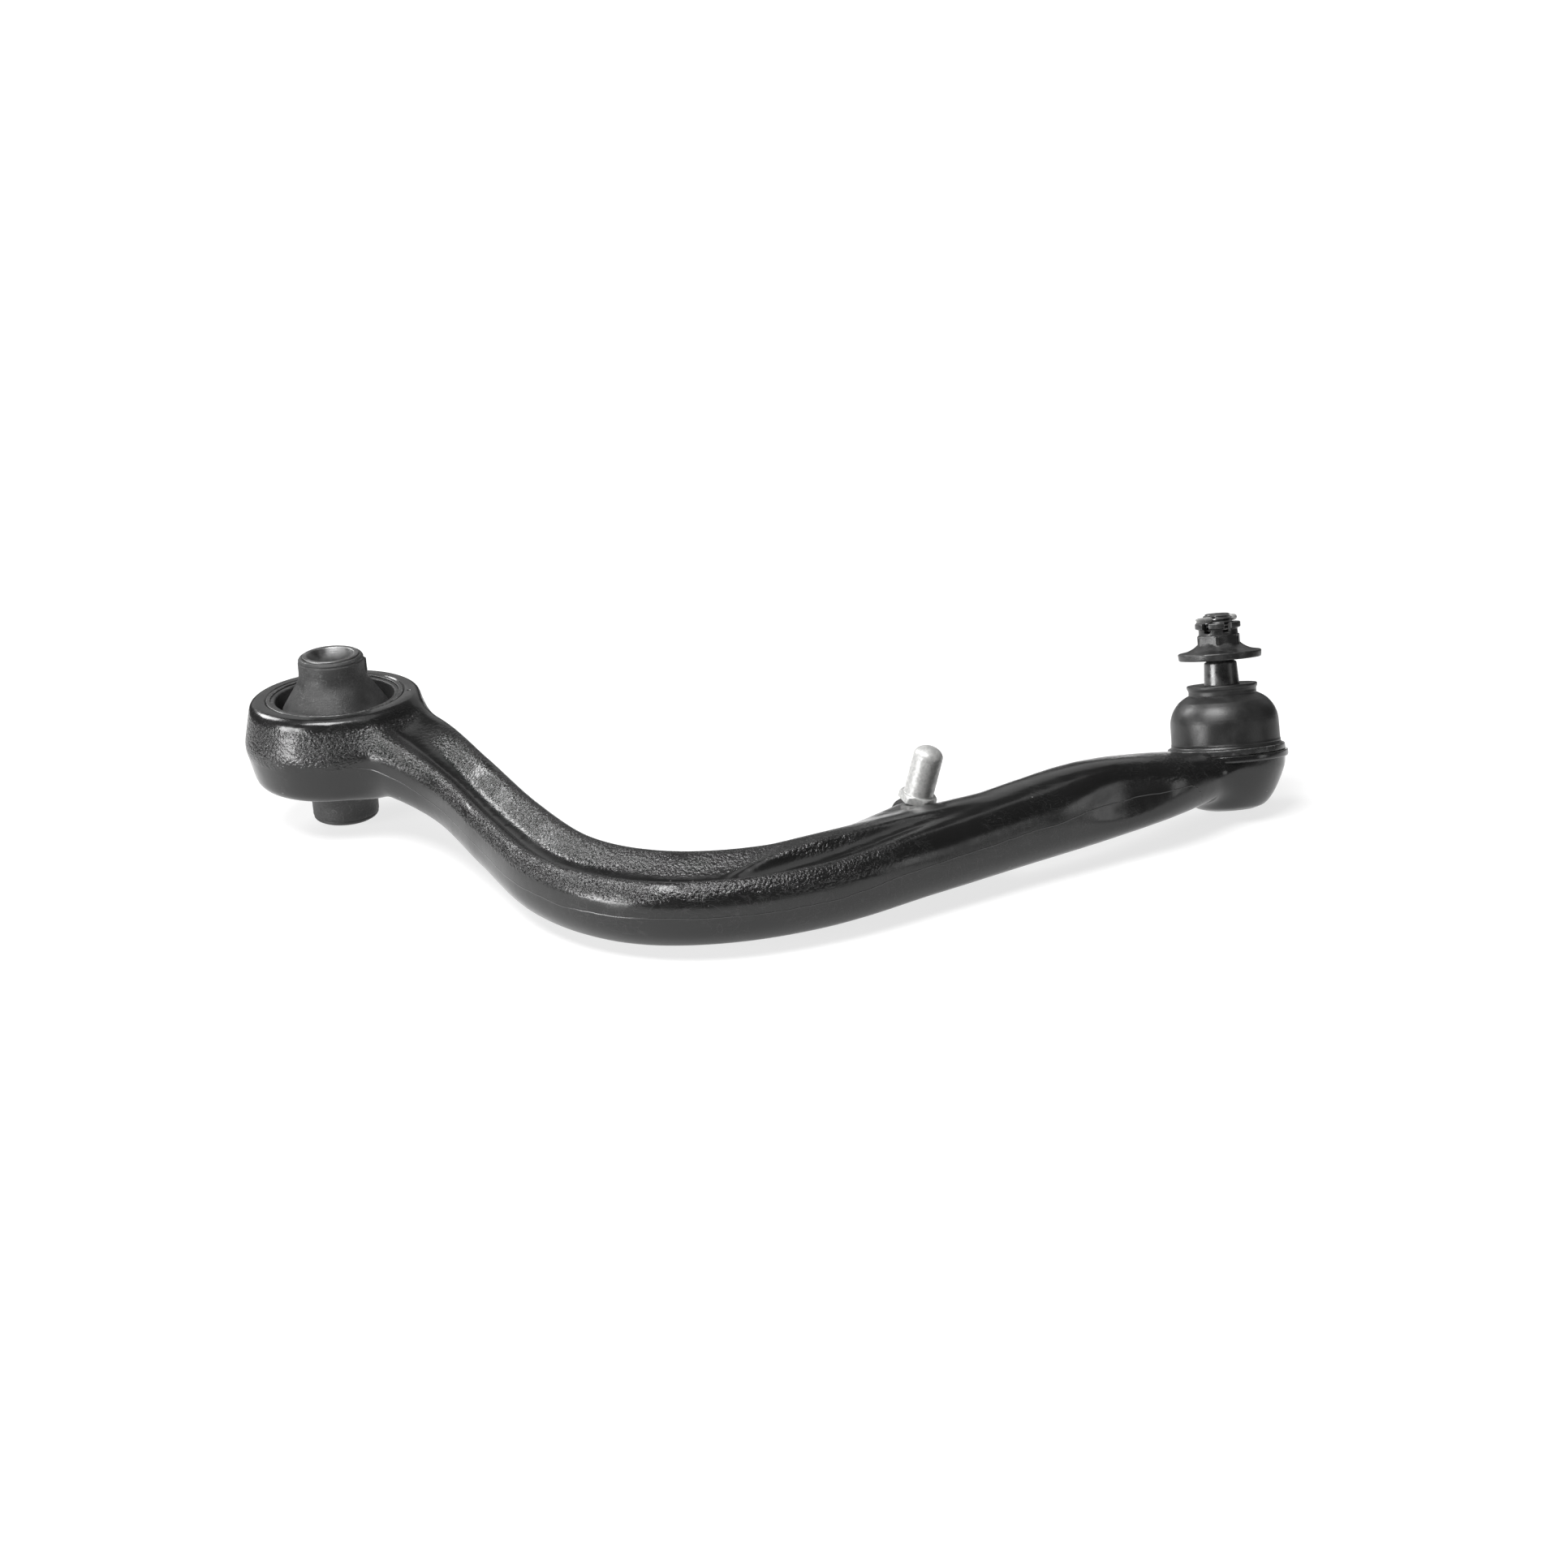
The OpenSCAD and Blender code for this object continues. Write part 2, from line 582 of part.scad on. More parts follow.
// Nut with a flange, a cone, a hexagon and a round crown with six slots
module castle_nut() {
    flange_r = nut_flange_d / 2;
    cone_top = nut_flange_rim + nut_cone;
    neck_low = cone_top + nut_hex;
    height = nut_top - nut_seat;
    color([0.12, 0.12, 0.12]) in_ball_frame() translate([0, 0, nut_seat]) difference() {
        union() {
            turned([[0, 0], [flange_r - nut_edge, 0], [flange_r, nut_edge], [flange_r, nut_flange_rim],
                [nut_corners / 2 + 2, nut_flange_rim + nut_cone * 0.4], [nut_corners / 2 + nut_edge, cone_top],
                [0, cone_top]]);
            rotate([0, 0, nut_turn]) cylinder(d = nut_corners, h = neck_low, $fn = 6);
            translate([0, 0, cone_top])
                cylinder(d = nut_flats - 2 * nut_neck_inset, h = nut_hex + nut_neck + nut_edge, $fn = round_fn);
            translate([0, 0, height - nut_crown])
                cylinder(d = nut_corners - 2 * nut_crown_inset, h = nut_crown, $fn = round_fn);
        }
        translate([0, 0, -past]) cylinder(d = thread_d + 2 * running_gap, h = height + 2 * past, $fn = round_fn);
        translate([0, 0, -past])
            cylinder(d1 = taper_end_d + 2 * past, d2 = thread_d, h = nut_bore_chamfer + past, $fn = round_fn);
        for (turn = [0:60:300]) rotate([0, 0, turn + cotter_turn])
            translate([thread_d / 2 - past, -nut_slot / 2, neck_low + nut_neck_inset])
                cube([nut_flange_d, nut_slot, height]);
    }
}

// Split pin: two legs side by side in the stud's cross hole, joined by an eye
module cotter_pin() {
    leg_end = cotter_eye_place - cotter_eye_d / 2 + cotter_wire * 0.6;
    color([0.85, 0.85, 0.83]) in_ball_frame() translate([0, 0, cotter_height]) rotate([0, 0, cotter_turn]) {
        rotate([0, 90, 0]) translate([0, 0, leg_end - cotter_length])
            cylinder(d = cotter_d, h = cotter_length, $fn = round_fn);
        translate([cotter_eye_place, 0, 0]) rotate([90, 0, 0]) rotate_extrude($fn = round_fn)
            translate([(cotter_eye_d - cotter_wire) / 2, 0]) circle(d = cotter_wire, $fn = round_fn);
    }
}

module bracket_pin() {
    color([0.75, 0.75, 0.74]) in_pin_frame() {
        translate([0, 0, -pin_shank]) cylinder(d = pin_shank_d, h = pin_shank + pin_collar, $fn = round_fn);
        cylinder(d = pin_collar_flats / cos(30), h = pin_collar, $fn = 6);
        cylinder(d = pin_d, h = pin_collar + pin_length - pin_dome, $fn = round_fn);
        translate([0, 0, pin_collar + pin_length - pin_dome])
            cylinder(d1 = pin_d, d2 = pin_d - 2 * pin_dome, h = pin_dome, $fn = round_fn);
    }
}

arm_forging();
bush_shell();
bush_lining();
bush_rubber_core();
bush_inner_sleeve();
lower_ball_seat();
upper_ball_seat();
closing_ring();
ball_stud();
dust_boot();
boot_foot_ring();
boot_lip_ring();
castle_nut();
cotter_pin();
bracket_pin();
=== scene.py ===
# Forged control arm: a rubber bush in a ring, an L-shaped bar with a boss and a ball joint.
# Metres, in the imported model's own frame: origin in the bush, Z along its bolt, X towards the ball.
import json
import math
import bpy
import bmesh
import numpy as np
import openvdb
from mathutils import Matrix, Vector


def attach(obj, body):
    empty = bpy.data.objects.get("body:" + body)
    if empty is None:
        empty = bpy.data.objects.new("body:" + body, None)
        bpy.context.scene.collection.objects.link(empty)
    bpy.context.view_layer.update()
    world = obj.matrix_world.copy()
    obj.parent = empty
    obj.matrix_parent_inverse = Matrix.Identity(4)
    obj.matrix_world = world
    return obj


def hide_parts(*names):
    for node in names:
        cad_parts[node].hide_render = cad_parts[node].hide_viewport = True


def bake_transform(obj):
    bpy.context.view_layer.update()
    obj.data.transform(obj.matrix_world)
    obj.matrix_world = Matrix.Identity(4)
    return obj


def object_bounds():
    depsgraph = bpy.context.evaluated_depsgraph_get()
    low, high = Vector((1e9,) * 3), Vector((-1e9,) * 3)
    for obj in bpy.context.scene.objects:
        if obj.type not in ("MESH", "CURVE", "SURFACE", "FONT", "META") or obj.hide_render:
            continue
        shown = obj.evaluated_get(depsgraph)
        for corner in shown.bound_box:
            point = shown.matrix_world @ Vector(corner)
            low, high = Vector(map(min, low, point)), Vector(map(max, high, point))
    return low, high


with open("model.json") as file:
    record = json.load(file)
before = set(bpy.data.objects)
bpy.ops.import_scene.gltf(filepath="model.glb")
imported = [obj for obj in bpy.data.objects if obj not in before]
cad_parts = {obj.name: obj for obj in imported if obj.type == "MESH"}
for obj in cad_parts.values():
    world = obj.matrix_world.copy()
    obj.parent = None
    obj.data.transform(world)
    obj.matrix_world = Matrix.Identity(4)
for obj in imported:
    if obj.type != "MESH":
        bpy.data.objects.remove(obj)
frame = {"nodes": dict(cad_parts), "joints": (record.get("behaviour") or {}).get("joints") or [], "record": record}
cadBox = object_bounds()
mm = 0.001
joints = {j["name"]: j for j in frame["joints"]}
mounts = {m["name"]: m for m in frame["record"]["mounts"]}

# the ball joint's own frame: origin in the ball, Z along the stud
ballCentre = np.array(joints["stud_spin"]["pos_m"])
studAxis = np.array(joints["stud_spin"]["axis"])
ballFrame = np.stack([joints["stud_swing_x"]["axis"], joints["stud_swing_y"]["axis"], studAxis], 1)
# the bracket pin's own frame: origin at the boss's face, Z along the pin
pinShank = mounts["bracket_pin_shank"]
pinAxis = np.array(pinShank["axis"])
pinFrame = np.stack([np.cross([0, 1, 0], pinAxis), [0, 1, 0], pinAxis], 1)
collarThickness = 0.003
pinBase = np.array(pinShank["pos_m"]) - pinAxis * (collarThickness + pinShank["dims"]["length_mm"] * mm / 2)
print("frame loaded:", len(frame["nodes"]), "nodes")


# an object from an array of points and one or more arrays of faces
def makeObject(name, verts, *faces):
    mesh = bpy.data.meshes.new(name)
    mesh.from_pydata(verts.tolist(), [], sum((part.tolist() for part in faces), []))
    mesh.update()
    piece = bpy.data.objects.new(name, mesh)
    bpy.context.scene.collection.objects.link(piece)
    return piece


# smooth shading, apart from edges sharper than the angle in degrees
def shadeSmooth(piece, angle):
    piece.data.polygons.foreach_set("use_smooth", np.ones(len(piece.data.polygons), bool))
    piece.data.set_sharp_from_angle(angle=math.radians(angle))


# faces of a grid of rows x columns points; the columns may close on themselves
def gridFaces(rows, cols, closed=True):
    i, k = np.meshgrid(np.arange(rows - 1), np.arange(cols if closed else cols - 1), indexing="ij")
    i, k = i.ravel(), k.ravel()
    n = (k + 1) % cols
    return np.stack([i * cols + k, i * cols + n, (i + 1) * cols + n, (i + 1) * cols + k], 1)


# outward normals, after points that fall together are merged
def cleanUp(piece, merge=1e-7):
    bm = bmesh.new()
    bm.from_mesh(piece.data)
    bmesh.ops.remove_doubles(bm, verts=bm.verts, dist=merge)
    bmesh.ops.dissolve_degenerate(bm, edges=bm.edges, dist=merge / 2)
    bmesh.ops.recalc_face_normals(bm, faces=bm.faces)
    if bm.calc_volume(signed=True) < 0:
        bmesh.ops.reverse_faces(bm, faces=bm.faces)
    bm.to_mesh(piece.data)
    bm.free()


# each corner of a profile of [radius, height, rounding] becomes a short curve:
# point = start*(1-u)^2 + corner*2u(1-u) + end*u^2, with start and end one rounding away from the corner
def rounded(profile, loop, steps=5):
    p = np.array(profile, float)
    u = np.linspace(0, 1, steps)[:, None]
    out = []
    for i in range(len(p)):
        here, r = p[i, :2], p[i, 2]
        if r == 0 or (not loop and i in (0, len(p) - 1)):
            out.append(here[None])
            continue
        before, after = p[i - 1, :2] - here, p[(i + 1) % len(p), :2] - here
        lengths = np.linalg.norm(before), np.linalg.norm(after)
        cut = min(r, 0.49 * lengths[0], 0.49 * lengths[1])
        a, b = here + before / lengths[0] * cut, here + after / lengths[1] * cut
        out.append(a * (1 - u) ** 2 + here * 2 * u * (1 - u) + b * u ** 2)
    return np.vstack(out) * mm


# adds points so that no step along the profile is longer than the given length
def refined(points, longest):
    parts = []
    for a, b in zip(points[:-1], points[1:]):
        n = max(int(np.ceil(np.linalg.norm(b - a) / longest)), 1)
        parts.append(a + (b - a) * np.arange(n)[:, None] / n)
    return np.vstack(parts + [points[-1:]])


# turned surface: (radius(v) cos a, radius(v) sin a, height(v)) in an own frame;
# reshape(radius, height, angle) may change the radius all over, as for a hexagon or a thread
def turnedPiece(name, profile, loop=False, segments=128, basis=None, origin=(0, 0, 0), step=None,
                reshape=None):
    points = rounded(profile, loop)
    if loop:
        points = np.vstack([points, points[:1]])
    if step:
        points = refined(points, step * mm)
    angle = np.arange(segments) * 2 * np.pi / segments
    radius, height = np.repeat(points[:, :1], segments, 1), np.repeat(points[:, 1:], segments, 1)
    if reshape:
        radius = reshape(radius, height, angle[None, :])
    local = np.stack([radius * np.cos(angle), radius * np.sin(angle), height], -1).reshape(-1, 3)
    basis = np.eye(3) if basis is None else basis
    piece = makeObject(name, local @ basis.T + np.array(origin), gridFaces(len(points), segments))
    cleanUp(piece)
    shadeSmooth(piece, 40)
    return piece


# the mesh with its modifiers worked into it
def applyModifiers(piece):
    graph = bpy.context.evaluated_depsgraph_get()
    mesh = bpy.data.meshes.new_from_object(piece.evaluated_get(graph))
    piece.modifiers.clear()
    old, piece.data = piece.data, mesh
    mesh.name = piece.name
    bpy.data.meshes.remove(old)


# joins other solids to a piece or cuts them out of it, and removes them
def combine(piece, others, operation):
    for other in others:
        step = piece.modifiers.new("cut", "BOOLEAN")
        step.operation, step.solver, step.object = operation, "MANIFOLD", other
    applyModifiers(piece)
    for other in others:
        bpy.data.objects.remove(other)


# smooth step from 0 at a to 1 at b: s^2 (3 - 2s), where s = (x - a) / (b - a)
def smoothStep(a, b, x):
    s = np.clip((x - a) / (b - a), 0, 1)
    return s * s * (3 - 2 * s)


# smooth window: 0 at a, 1 from b to c, and 0 again at d
def window(a, b, c, d, x):
    return smoothStep(a, b, x) * (1 - smoothStep(c, d, x))


# rounded box: across = sign(cos a)|cos a|^(2/n) and rise = sign(sin a)|sin a|^(2/n)
def roundedBox(angle, n):
    x, y = np.cos(angle), np.sin(angle)
    return np.sign(x) * np.abs(x) ** (2 / n), np.sign(y) * np.abs(y) ** (2 / n)


# hexagon with its corners at 0, 60 ... degrees: radius = half flats / cos(30 degrees - angle from the corner)
def hexagonRadius(flats, angle):
    sixth = (angle + math.pi / 6) % (math.pi / 3) - math.pi / 6
    return flats / 2 / np.cos(math.pi / 6 - np.abs(sixth))


# one number for each point of a piece, for its material to read
def setAttribute(piece, name, values):
    attribute = piece.data.attributes.new(name, "FLOAT", "POINT")
    attribute.data.foreach_set("value", np.asarray(values, np.float32))


# the points of a piece as an array of x, y, z
def vertexArray(piece):
    co = np.empty(len(piece.data.vertices) * 3, np.float32)
    piece.data.vertices.foreach_get("co", co)
    return co.reshape(-1, 3).astype(float)


arm = {
    # share of length, share of bow, height (mm), width share, height share, lean (degrees), trough share
    "rows": [
        [0.000, 0.000, 0.0, 1.10, 0.96, 0, 0.0], [0.085, 0.120, -2.0, 1.02, 0.98, 0, 0.5],
        [0.165, 0.310, -9.0, 0.76, 0.89, 0, 0.9], [0.240, 0.580, -15.0, 0.76, 0.90, 0, 1.0],
        [0.315, 0.835, -18.5, 0.88, 0.96, 0, 1.0], [0.400, 0.980, -19.0, 0.99, 1.01, 0, 1.0],
        [0.490, 1.000, -18.5, 1.00, 1.00, 0, 1.0], [0.590, 0.900, -18.0, 0.90, 0.97, 0, 0.7],
        [0.685, 0.720, -17.5, 0.78, 0.91, 9, 0.2], [0.775, 0.525, -15.5, 0.79, 0.93, 8, 0.0],
        [0.850, 0.370, -14.0, 0.86, 0.96, 12, 0.0], [0.910, 0.230, -15.2, 1.00, 0.82, 12, 0.0],
        [0.955, 0.085, -18.0, 1.00, 0.62, 10, 0.0], [0.985, 0.000, -20.0, 0.78, 0.50, 10, 0.0]],
    "length": 375, "bow": 142, "width": 42, "height": 34,
    "troughDepth": 9, "underTrough": 5, "troughPlace": 0.22, "troughInner": 1.0, "troughOuter": 0.55,
    "outerRibFall": 0.09, "sectionPower": 2.7,
    # dent in the neck's outer flank: place along the rows, spread, share up, its spread, depth (mm)
    "dent": (10.3, 0.95, 0.1, 1.0, 3.0),
    "sections": 150, "segments": 112, "voxel": 1.15, "band": 10, "smoothing": (0.5, 4),
    "ringBlend": 9, "cupBlend": 6, "webBlend": 8,
    # rough skin: a window of height on the ring, outside a radius; windows of share across, share up and
    # place along the rows for the outer rib, the trough's inner slope and the dimple at the neck
    "ringRough": (-4.5, -1.0, 12.5, 15.5), "ringRoughFrom": (33, 35),
    "ribAcross": (0.3, 0.5), "ribUp": (0.3, 0.5, 1.0, 1.08), "ribEnd": (7.0, 8.2),
    "slopeAcross": (-0.85, -0.7, -0.12, 0.05), "slopeAlong": (1.0, 1.8, 7.2, 7.9),
    "dimpleAlong": (10.2, 10.6, 11.2, 11.6), "dimpleUp": (0.1, 0.5), "dimpleShare": 0.5,
    # parting line: the share across where the flank starts, and the place where the line ends
    "partingFlank": (0.72, 0.86), "partingEnd": (11.2, 11.8), "noLine": 30,
}


# Catmull-Rom curve through the rows at places t: the cubic through b and c whose slopes there are
# (c - a) / 2 and (d - b) / 2, carried on straight past both ends
def rowsAt(t):
    rows = np.array(arm["rows"])
    rows = np.vstack([2 * rows[0] - rows[1], rows, 2 * rows[-1] - rows[-2]])
    i = np.clip(np.floor(t).astype(int), 0, len(rows) - 4)
    f = (t - i)[:, None]
    a, b, c, d = rows[i], rows[i + 1], rows[i + 2], rows[i + 3]
    square, cube = 2 * a - 5 * b + 4 * c - d, 3 * b - 3 * c + d - a
    return 0.5 * (2 * b + (c - a) * f + square * f ** 2 + cube * f ** 3)


# centre, outward side and upward direction of the bar at places t
def barFrame(t):
    place = lambda u: rowsAt(u)[:, :3] * np.array([arm["length"], -arm["bow"], 1])
    row = rowsAt(t)
    along = place(t + 0.05) - place(t - 0.05)
    along /= np.linalg.norm(along, axis=1, keepdims=True)
    side = np.cross(along, [0, 0, 1])
    side /= np.linalg.norm(side, axis=1, keepdims=True)
    up = np.cross(side, along)
    lean = np.radians(row[:, 5:6])
    return place(t), side * np.cos(lean) + up * np.sin(lean), up * np.cos(lean) - side * np.sin(lean), row


# rounded box with a trough and a dent: the trough dips by depth * bump((across - place) / spread) * |rise|,
# where bump(x) = (1 - x^2)^2, and the dent pushes the outer side in by
# depth * bump(along) * bump(up) * across
def barSurface(t, angle):
    centre, side, up, row = barFrame(t)
    across, rise = roundedBox(angle, arm["sectionPower"])
    spread = np.where(across < arm["troughPlace"], arm["troughInner"], arm["troughOuter"])
    bump = np.clip(1 - ((across - arm["troughPlace"]) / spread) ** 2, 0, None) ** 2
    dip = row[:, 6:7] * (bump * np.abs(rise) * np.where(rise > 0, arm["troughDepth"], -arm["underTrough"]))
    low = 1 - row[:, 6:7] * np.clip(across, 0, None) * arm["outerRibFall"]
    wide = across * row[:, 3:4] * arm["width"] / 2
    at, reach, high, riseReach, deep = arm["dent"]
    dent = np.clip(1 - ((t[:, None] - at) / reach) ** 2, 0, None)
    dent = dent * np.clip(1 - ((rise - high) / riseReach) ** 2, 0, None)
    wide = wide - deep * dent ** 2 * np.clip(across, 0, 1)
    tall = rise * low * row[:, 4:5] * arm["height"] / 2 - dip
    return centre[:, None] + side[:, None] * wide[..., None] + up[:, None] * tall[..., None]


# closed mesh arrays of a row of rings, with a fan at each end
def closedRings(rings):
    rows, cols = rings.shape[:2]
    points = np.vstack([rings.reshape(-1, 3), rings[0].mean(0), rings[-1].mean(0)])
    k = np.arange(cols)
    n = (k + 1) % cols
    first, last = rows * cols, rows * cols + 1
    fans = np.vstack([np.stack([np.full(cols, first), n, k], 1),
                      np.stack([np.full(cols, last), k + (rows - 1) * cols, n + (rows - 1) * cols], 1)])
    return points, gridFaces(rows, cols), fans


# turned surface in mm as a row of rings, from the axis back to the axis: (r cos a, r sin a, height)
def turnedRings(profile, basis=None, origin=(0, 0, 0), segments=160):
    points = rounded(profile, False, 9) / mm
    angle = np.arange(segments) * 2 * np.pi / segments
    local = np.stack([points[:, :1] * np.cos(angle), points[:, :1] * np.sin(angle),
                      np.repeat(points[:, 1:], segments, 1)], -1)
    basis = np.eye(3) if basis is None else basis
    return local @ basis.T + np.array(origin) / mm


# distance to the shape, negative inside, on the shared grid
def distanceTo(rings, low, size):
    points, quads, fans = closedRings(rings)
    grid = openvdb.FloatGrid.createLevelSetFromPolygons(
        points.astype(np.float32), triangles=fans.astype(np.uint32), quads=quads.astype(np.uint32),
        transform=openvdb.createLinearTransform(voxelSize=arm["voxel"]), halfWidth=arm["band"])
    field = np.empty(size, np.float32)
    grid.copyToArray(field, ijk=low)
    return field


# union with a fillet: min(a, b) - h^2 k / 4, where h = max(k - |a - b|, 0) / k
def filleted(a, b, k):
    h = np.clip(k - np.abs(a - b), 0, None) / k
    return np.minimum(a, b) - h * h * k / 4


ring = {"bore": 58, "edge": 71.6, "lowEdge": 71, "parting": 79, "height": 37, "topRounding": 3.2,
        "lowRounding": 5.5, "partingHalf": 1.2, "partingRounding": 1.5, "boreChamfer": 0.8,
        "punchAngle": 8, "punchRadius": 31.6, "punchSize": 1.7}
cup = {"floor": 19, "side": 47.5, "power": 0.46, "bottom": -17.75, "rim": 50.5, "rimTop": 5.9,
       "rimThickness": 2.9, "rimInset": 1.2, "seat": 13.75, "pocket": 18.25, "pocketDepth": 2.2}
web = {"bossRadius": 8.75, "bossHeight": 17, "left": 6.45, "right": 8.6, "leftHalf": 14, "rightHalf": 12,
       "power": 3.2, "heightAtBar": 30, "noseShrink": 0.4}
boss = {"hole": 10, "depth": 14, "chamfer": 0.6, "facing": 11.5, "slopeOut": 9, "slopeUp": 7,
        "clearAbove": 26}


# turned ring: straight drafted flanks from the parting band to both faces
def ringProfile():
    half, edge, middle = ring["height"] / 2, ring["edge"] / 2, ring["parting"] / 2
    band, softness = ring["partingHalf"], ring["partingRounding"]
    return [[0, -half, 0], [ring["lowEdge"] / 2, -half, ring["lowRounding"]], [middle, -band, softness],
            [middle, band, softness], [edge, half, ring["topRounding"]], [0, half, 0]]


# turned cup: radius = (floor + (side - floor) * share^power) / 2, where share runs from the bottom up to 1
def cupProfile():
    share = np.linspace(0, 1, 14)
    radius = (cup["floor"] + (cup["side"] - cup["floor"]) * share ** cup["power"]) / 2
    sides = [[r, cup["bottom"] * (1 - u), 0] for r, u in zip(radius, share)]
    edge = cup["rim"] / 2 - cup["rimInset"]
    return [[0, cup["bottom"], 0], *sides, [edge, cup["rimTop"] - 1.5, 0.6], [edge, cup["rimTop"], 0],
            [0, cup["rimTop"], 0]]


# fan-shaped web: sections between a left and a right edge that part from the boss to the bar, with a round
# nose beyond the boss; each section is a rounded box |x|^n + |z|^n = 1
def webSurface():
    bar, _, _, _ = barFrame(np.array([web["left"], web["right"]]))
    middle = pinBase / mm - pinAxis * web["bossHeight"] / 2
    chord = bar[1] - bar[0]
    chord /= np.linalg.norm(chord)
    leftEnd, rightEnd = bar[0] - chord * web["leftHalf"], bar[1] + chord * web["rightHalf"]
    nose = np.linspace(-1, 0, 13)[:-1]
    s = np.concatenate([nose, np.linspace(0, 1, 25)])
    turn = np.clip(-s, 0, 1) * np.pi / 2
    share = np.clip(s, 0, 1)[:, None]
    out = np.array([-chord[1], chord[0], 0.0])
    wide = chord * web["bossRadius"] * np.cos(turn)[:, None]
    far = out * web["bossRadius"] * np.sin(turn)[:, None]
    left, right = middle - wide + far, middle + wide + far
    left, right = left * (1 - share) + leftEnd * share, right * (1 - share) + rightEnd * share
    tall = (web["bossHeight"] * (1 - share) + web["heightAtBar"] * share) / 2
    tall = tall * (1 - web["noseShrink"] + web["noseShrink"] * np.cos(turn)[:, None])
    across, rise = roundedBox(np.arange(64) * 2 * np.pi / 64, web["power"])
    centre, half = (left + right) / 2, (right - left) / 2
    return (centre[:, None] + half[:, None] * across[None, :, None]
            + np.array([0, 0, 1.0]) * (tall * rise)[..., None])


# bar, ring, cup and web as distances on one grid, joined by fillets and made a mesh where the distance is 0
def buildArm():
    angle = np.arange(arm["segments"]) * 2 * np.pi / arm["segments"]
    bar = barSurface(np.linspace(0, len(arm["rows"]) - 1, arm["sections"]), angle)
    shapes = [bar, turnedRings(ringProfile()), turnedRings(cupProfile(), ballFrame, ballCentre), webSurface()]
    allPoints = np.vstack([s.reshape(-1, 3) for s in shapes])
    margin = arm["band"] + 2
    low = np.floor(allPoints.min(0) / arm["voxel"]).astype(int) - margin
    size = np.ceil(allPoints.max(0) / arm["voxel"]).astype(int) + margin - low
    low = tuple(int(x) for x in low)
    barField, ringField, cupField, webField = (distanceTo(s, low, tuple(size)) for s in shapes)
    field = filleted(barField, ringField, arm["ringBlend"])
    field = filleted(field, webField, arm["webBlend"])
    field = filleted(field, cupField, arm["cupBlend"])
    limit = arm["band"] * arm["voxel"]
    grid = openvdb.FloatGrid(limit)
    grid.transform = openvdb.createLinearTransform(voxelSize=arm["voxel"])
    grid.gridClass = openvdb.GridClass.LEVEL_SET
    grid.copyFromArray(np.clip(field, -limit, limit).astype(np.float32), ijk=low)
    verts, quads = grid.convertToQuads()
    piece = makeObject("armForging", verts * mm, quads)
    cleanUp(piece)
    smooth = piece.modifiers.new("smooth", "SMOOTH")
    smooth.factor, smooth.iterations = arm["smoothing"]
    applyModifiers(piece)
    return piece


# the bush's bore, the ball's socket and all above the housing's rim, the pin's hole and face, a punch mark
def cutArm(piece):
    bore, half, edge = ring["bore"] / 2, ring["height"] / 2, ring["edge"] / 2
    past, wider, chamfer = 6, 9, ring["boreChamfer"]
    boreCut = turnedPiece("boreCut", [
        [0, -half - past, 0], [edge, -half - past, 0], [edge, -half, 0], [bore + chamfer, -half, 0],
        [bore, -half + chamfer, 0], [bore, half - chamfer, 0], [bore + chamfer, half, 0],
        [edge + wider, half, 0], [edge + wider, half + past, 0], [0, half + past, 0]], segments=192)
    rim, rimTop, seat, pocket = cup["rim"] / 2, cup["rimTop"], cup["seat"], cup["pocket"]
    step = rimTop - cup["pocketDepth"]
    bowl = [[seat * math.sin(a), -seat * math.cos(a), 0] for a in np.linspace(0, math.pi / 2, 17)]
    socketCut = turnedPiece("socketCut", bowl + [
        [seat, step, 0], [pocket, step, 0], [pocket, rimTop, 0], [rim + 1, rimTop, 0],
        [2 * rim, rimTop + rim, 0], [0, rimTop + rim, 0]],
        basis=ballFrame, origin=ballCentre, segments=160)
    hole, facing, outer = boss["hole"] / 2, boss["facing"], boss["facing"] + boss["slopeOut"]
    bossCut = turnedPiece("bossCut", [
        [0, -boss["depth"], 0], [hole, -boss["depth"], 0], [hole, -boss["chamfer"], 0],
        [hole + boss["chamfer"], 0, 0], [facing, 0, 0], [outer, boss["slopeUp"], 0],
        [outer, boss["clearAbove"], 0], [0, boss["clearAbove"], 0]],
        basis=pinFrame, origin=pinBase, segments=96)
    rimLow = rimTop - cup["rimThickness"]
    rimFlange = turnedPiece("rimFlange", [
        [15, rimLow - 2, 0], [rim - 3.5, rimLow - 0.6, 1], [rim, rimLow + 0.3, 0.8], [rim, rimTop, 0.5],
        [15, rimTop, 0]], loop=True, basis=ballFrame, origin=ballCentre, segments=192)
    turn, reach, size = math.radians(ring["punchAngle"]), ring["punchRadius"] * mm, ring["punchSize"] / 2
    punchDot = turnedPiece("punchDot", [[0, -size, 0], [size, 0, 0], [size, 2, 0], [0, 2, 0]], segments=24,
                           origin=(reach * math.cos(turn), reach * math.sin(turn), half * mm))
    combine(piece, [rimFlange], "UNION")
    combine(piece, [boreCut, socketCut, bossCut, punchDot], "DIFFERENCE")
    shadeSmooth(piece, 42)
    return piece


# nearest place on the bar of each point, with its share across and its share up
def barPlace(points):
    t = np.linspace(0, len(arm["rows"]) - 1, 261)
    centre, side, up, row = barFrame(t)
    best = np.concatenate([
        np.argmin(((part[:, None] - centre[None]) ** 2).sum(-1), 1) for part in np.array_split(points, 40)])
    off = points - centre[best]
    across = (off * side[best]).sum(-1) / (row[best, 3] * arm["width"] / 2)
    rise = (off * up[best]).sum(-1) / (row[best, 4] * arm["height"] / 2)
    return t[best], across, rise


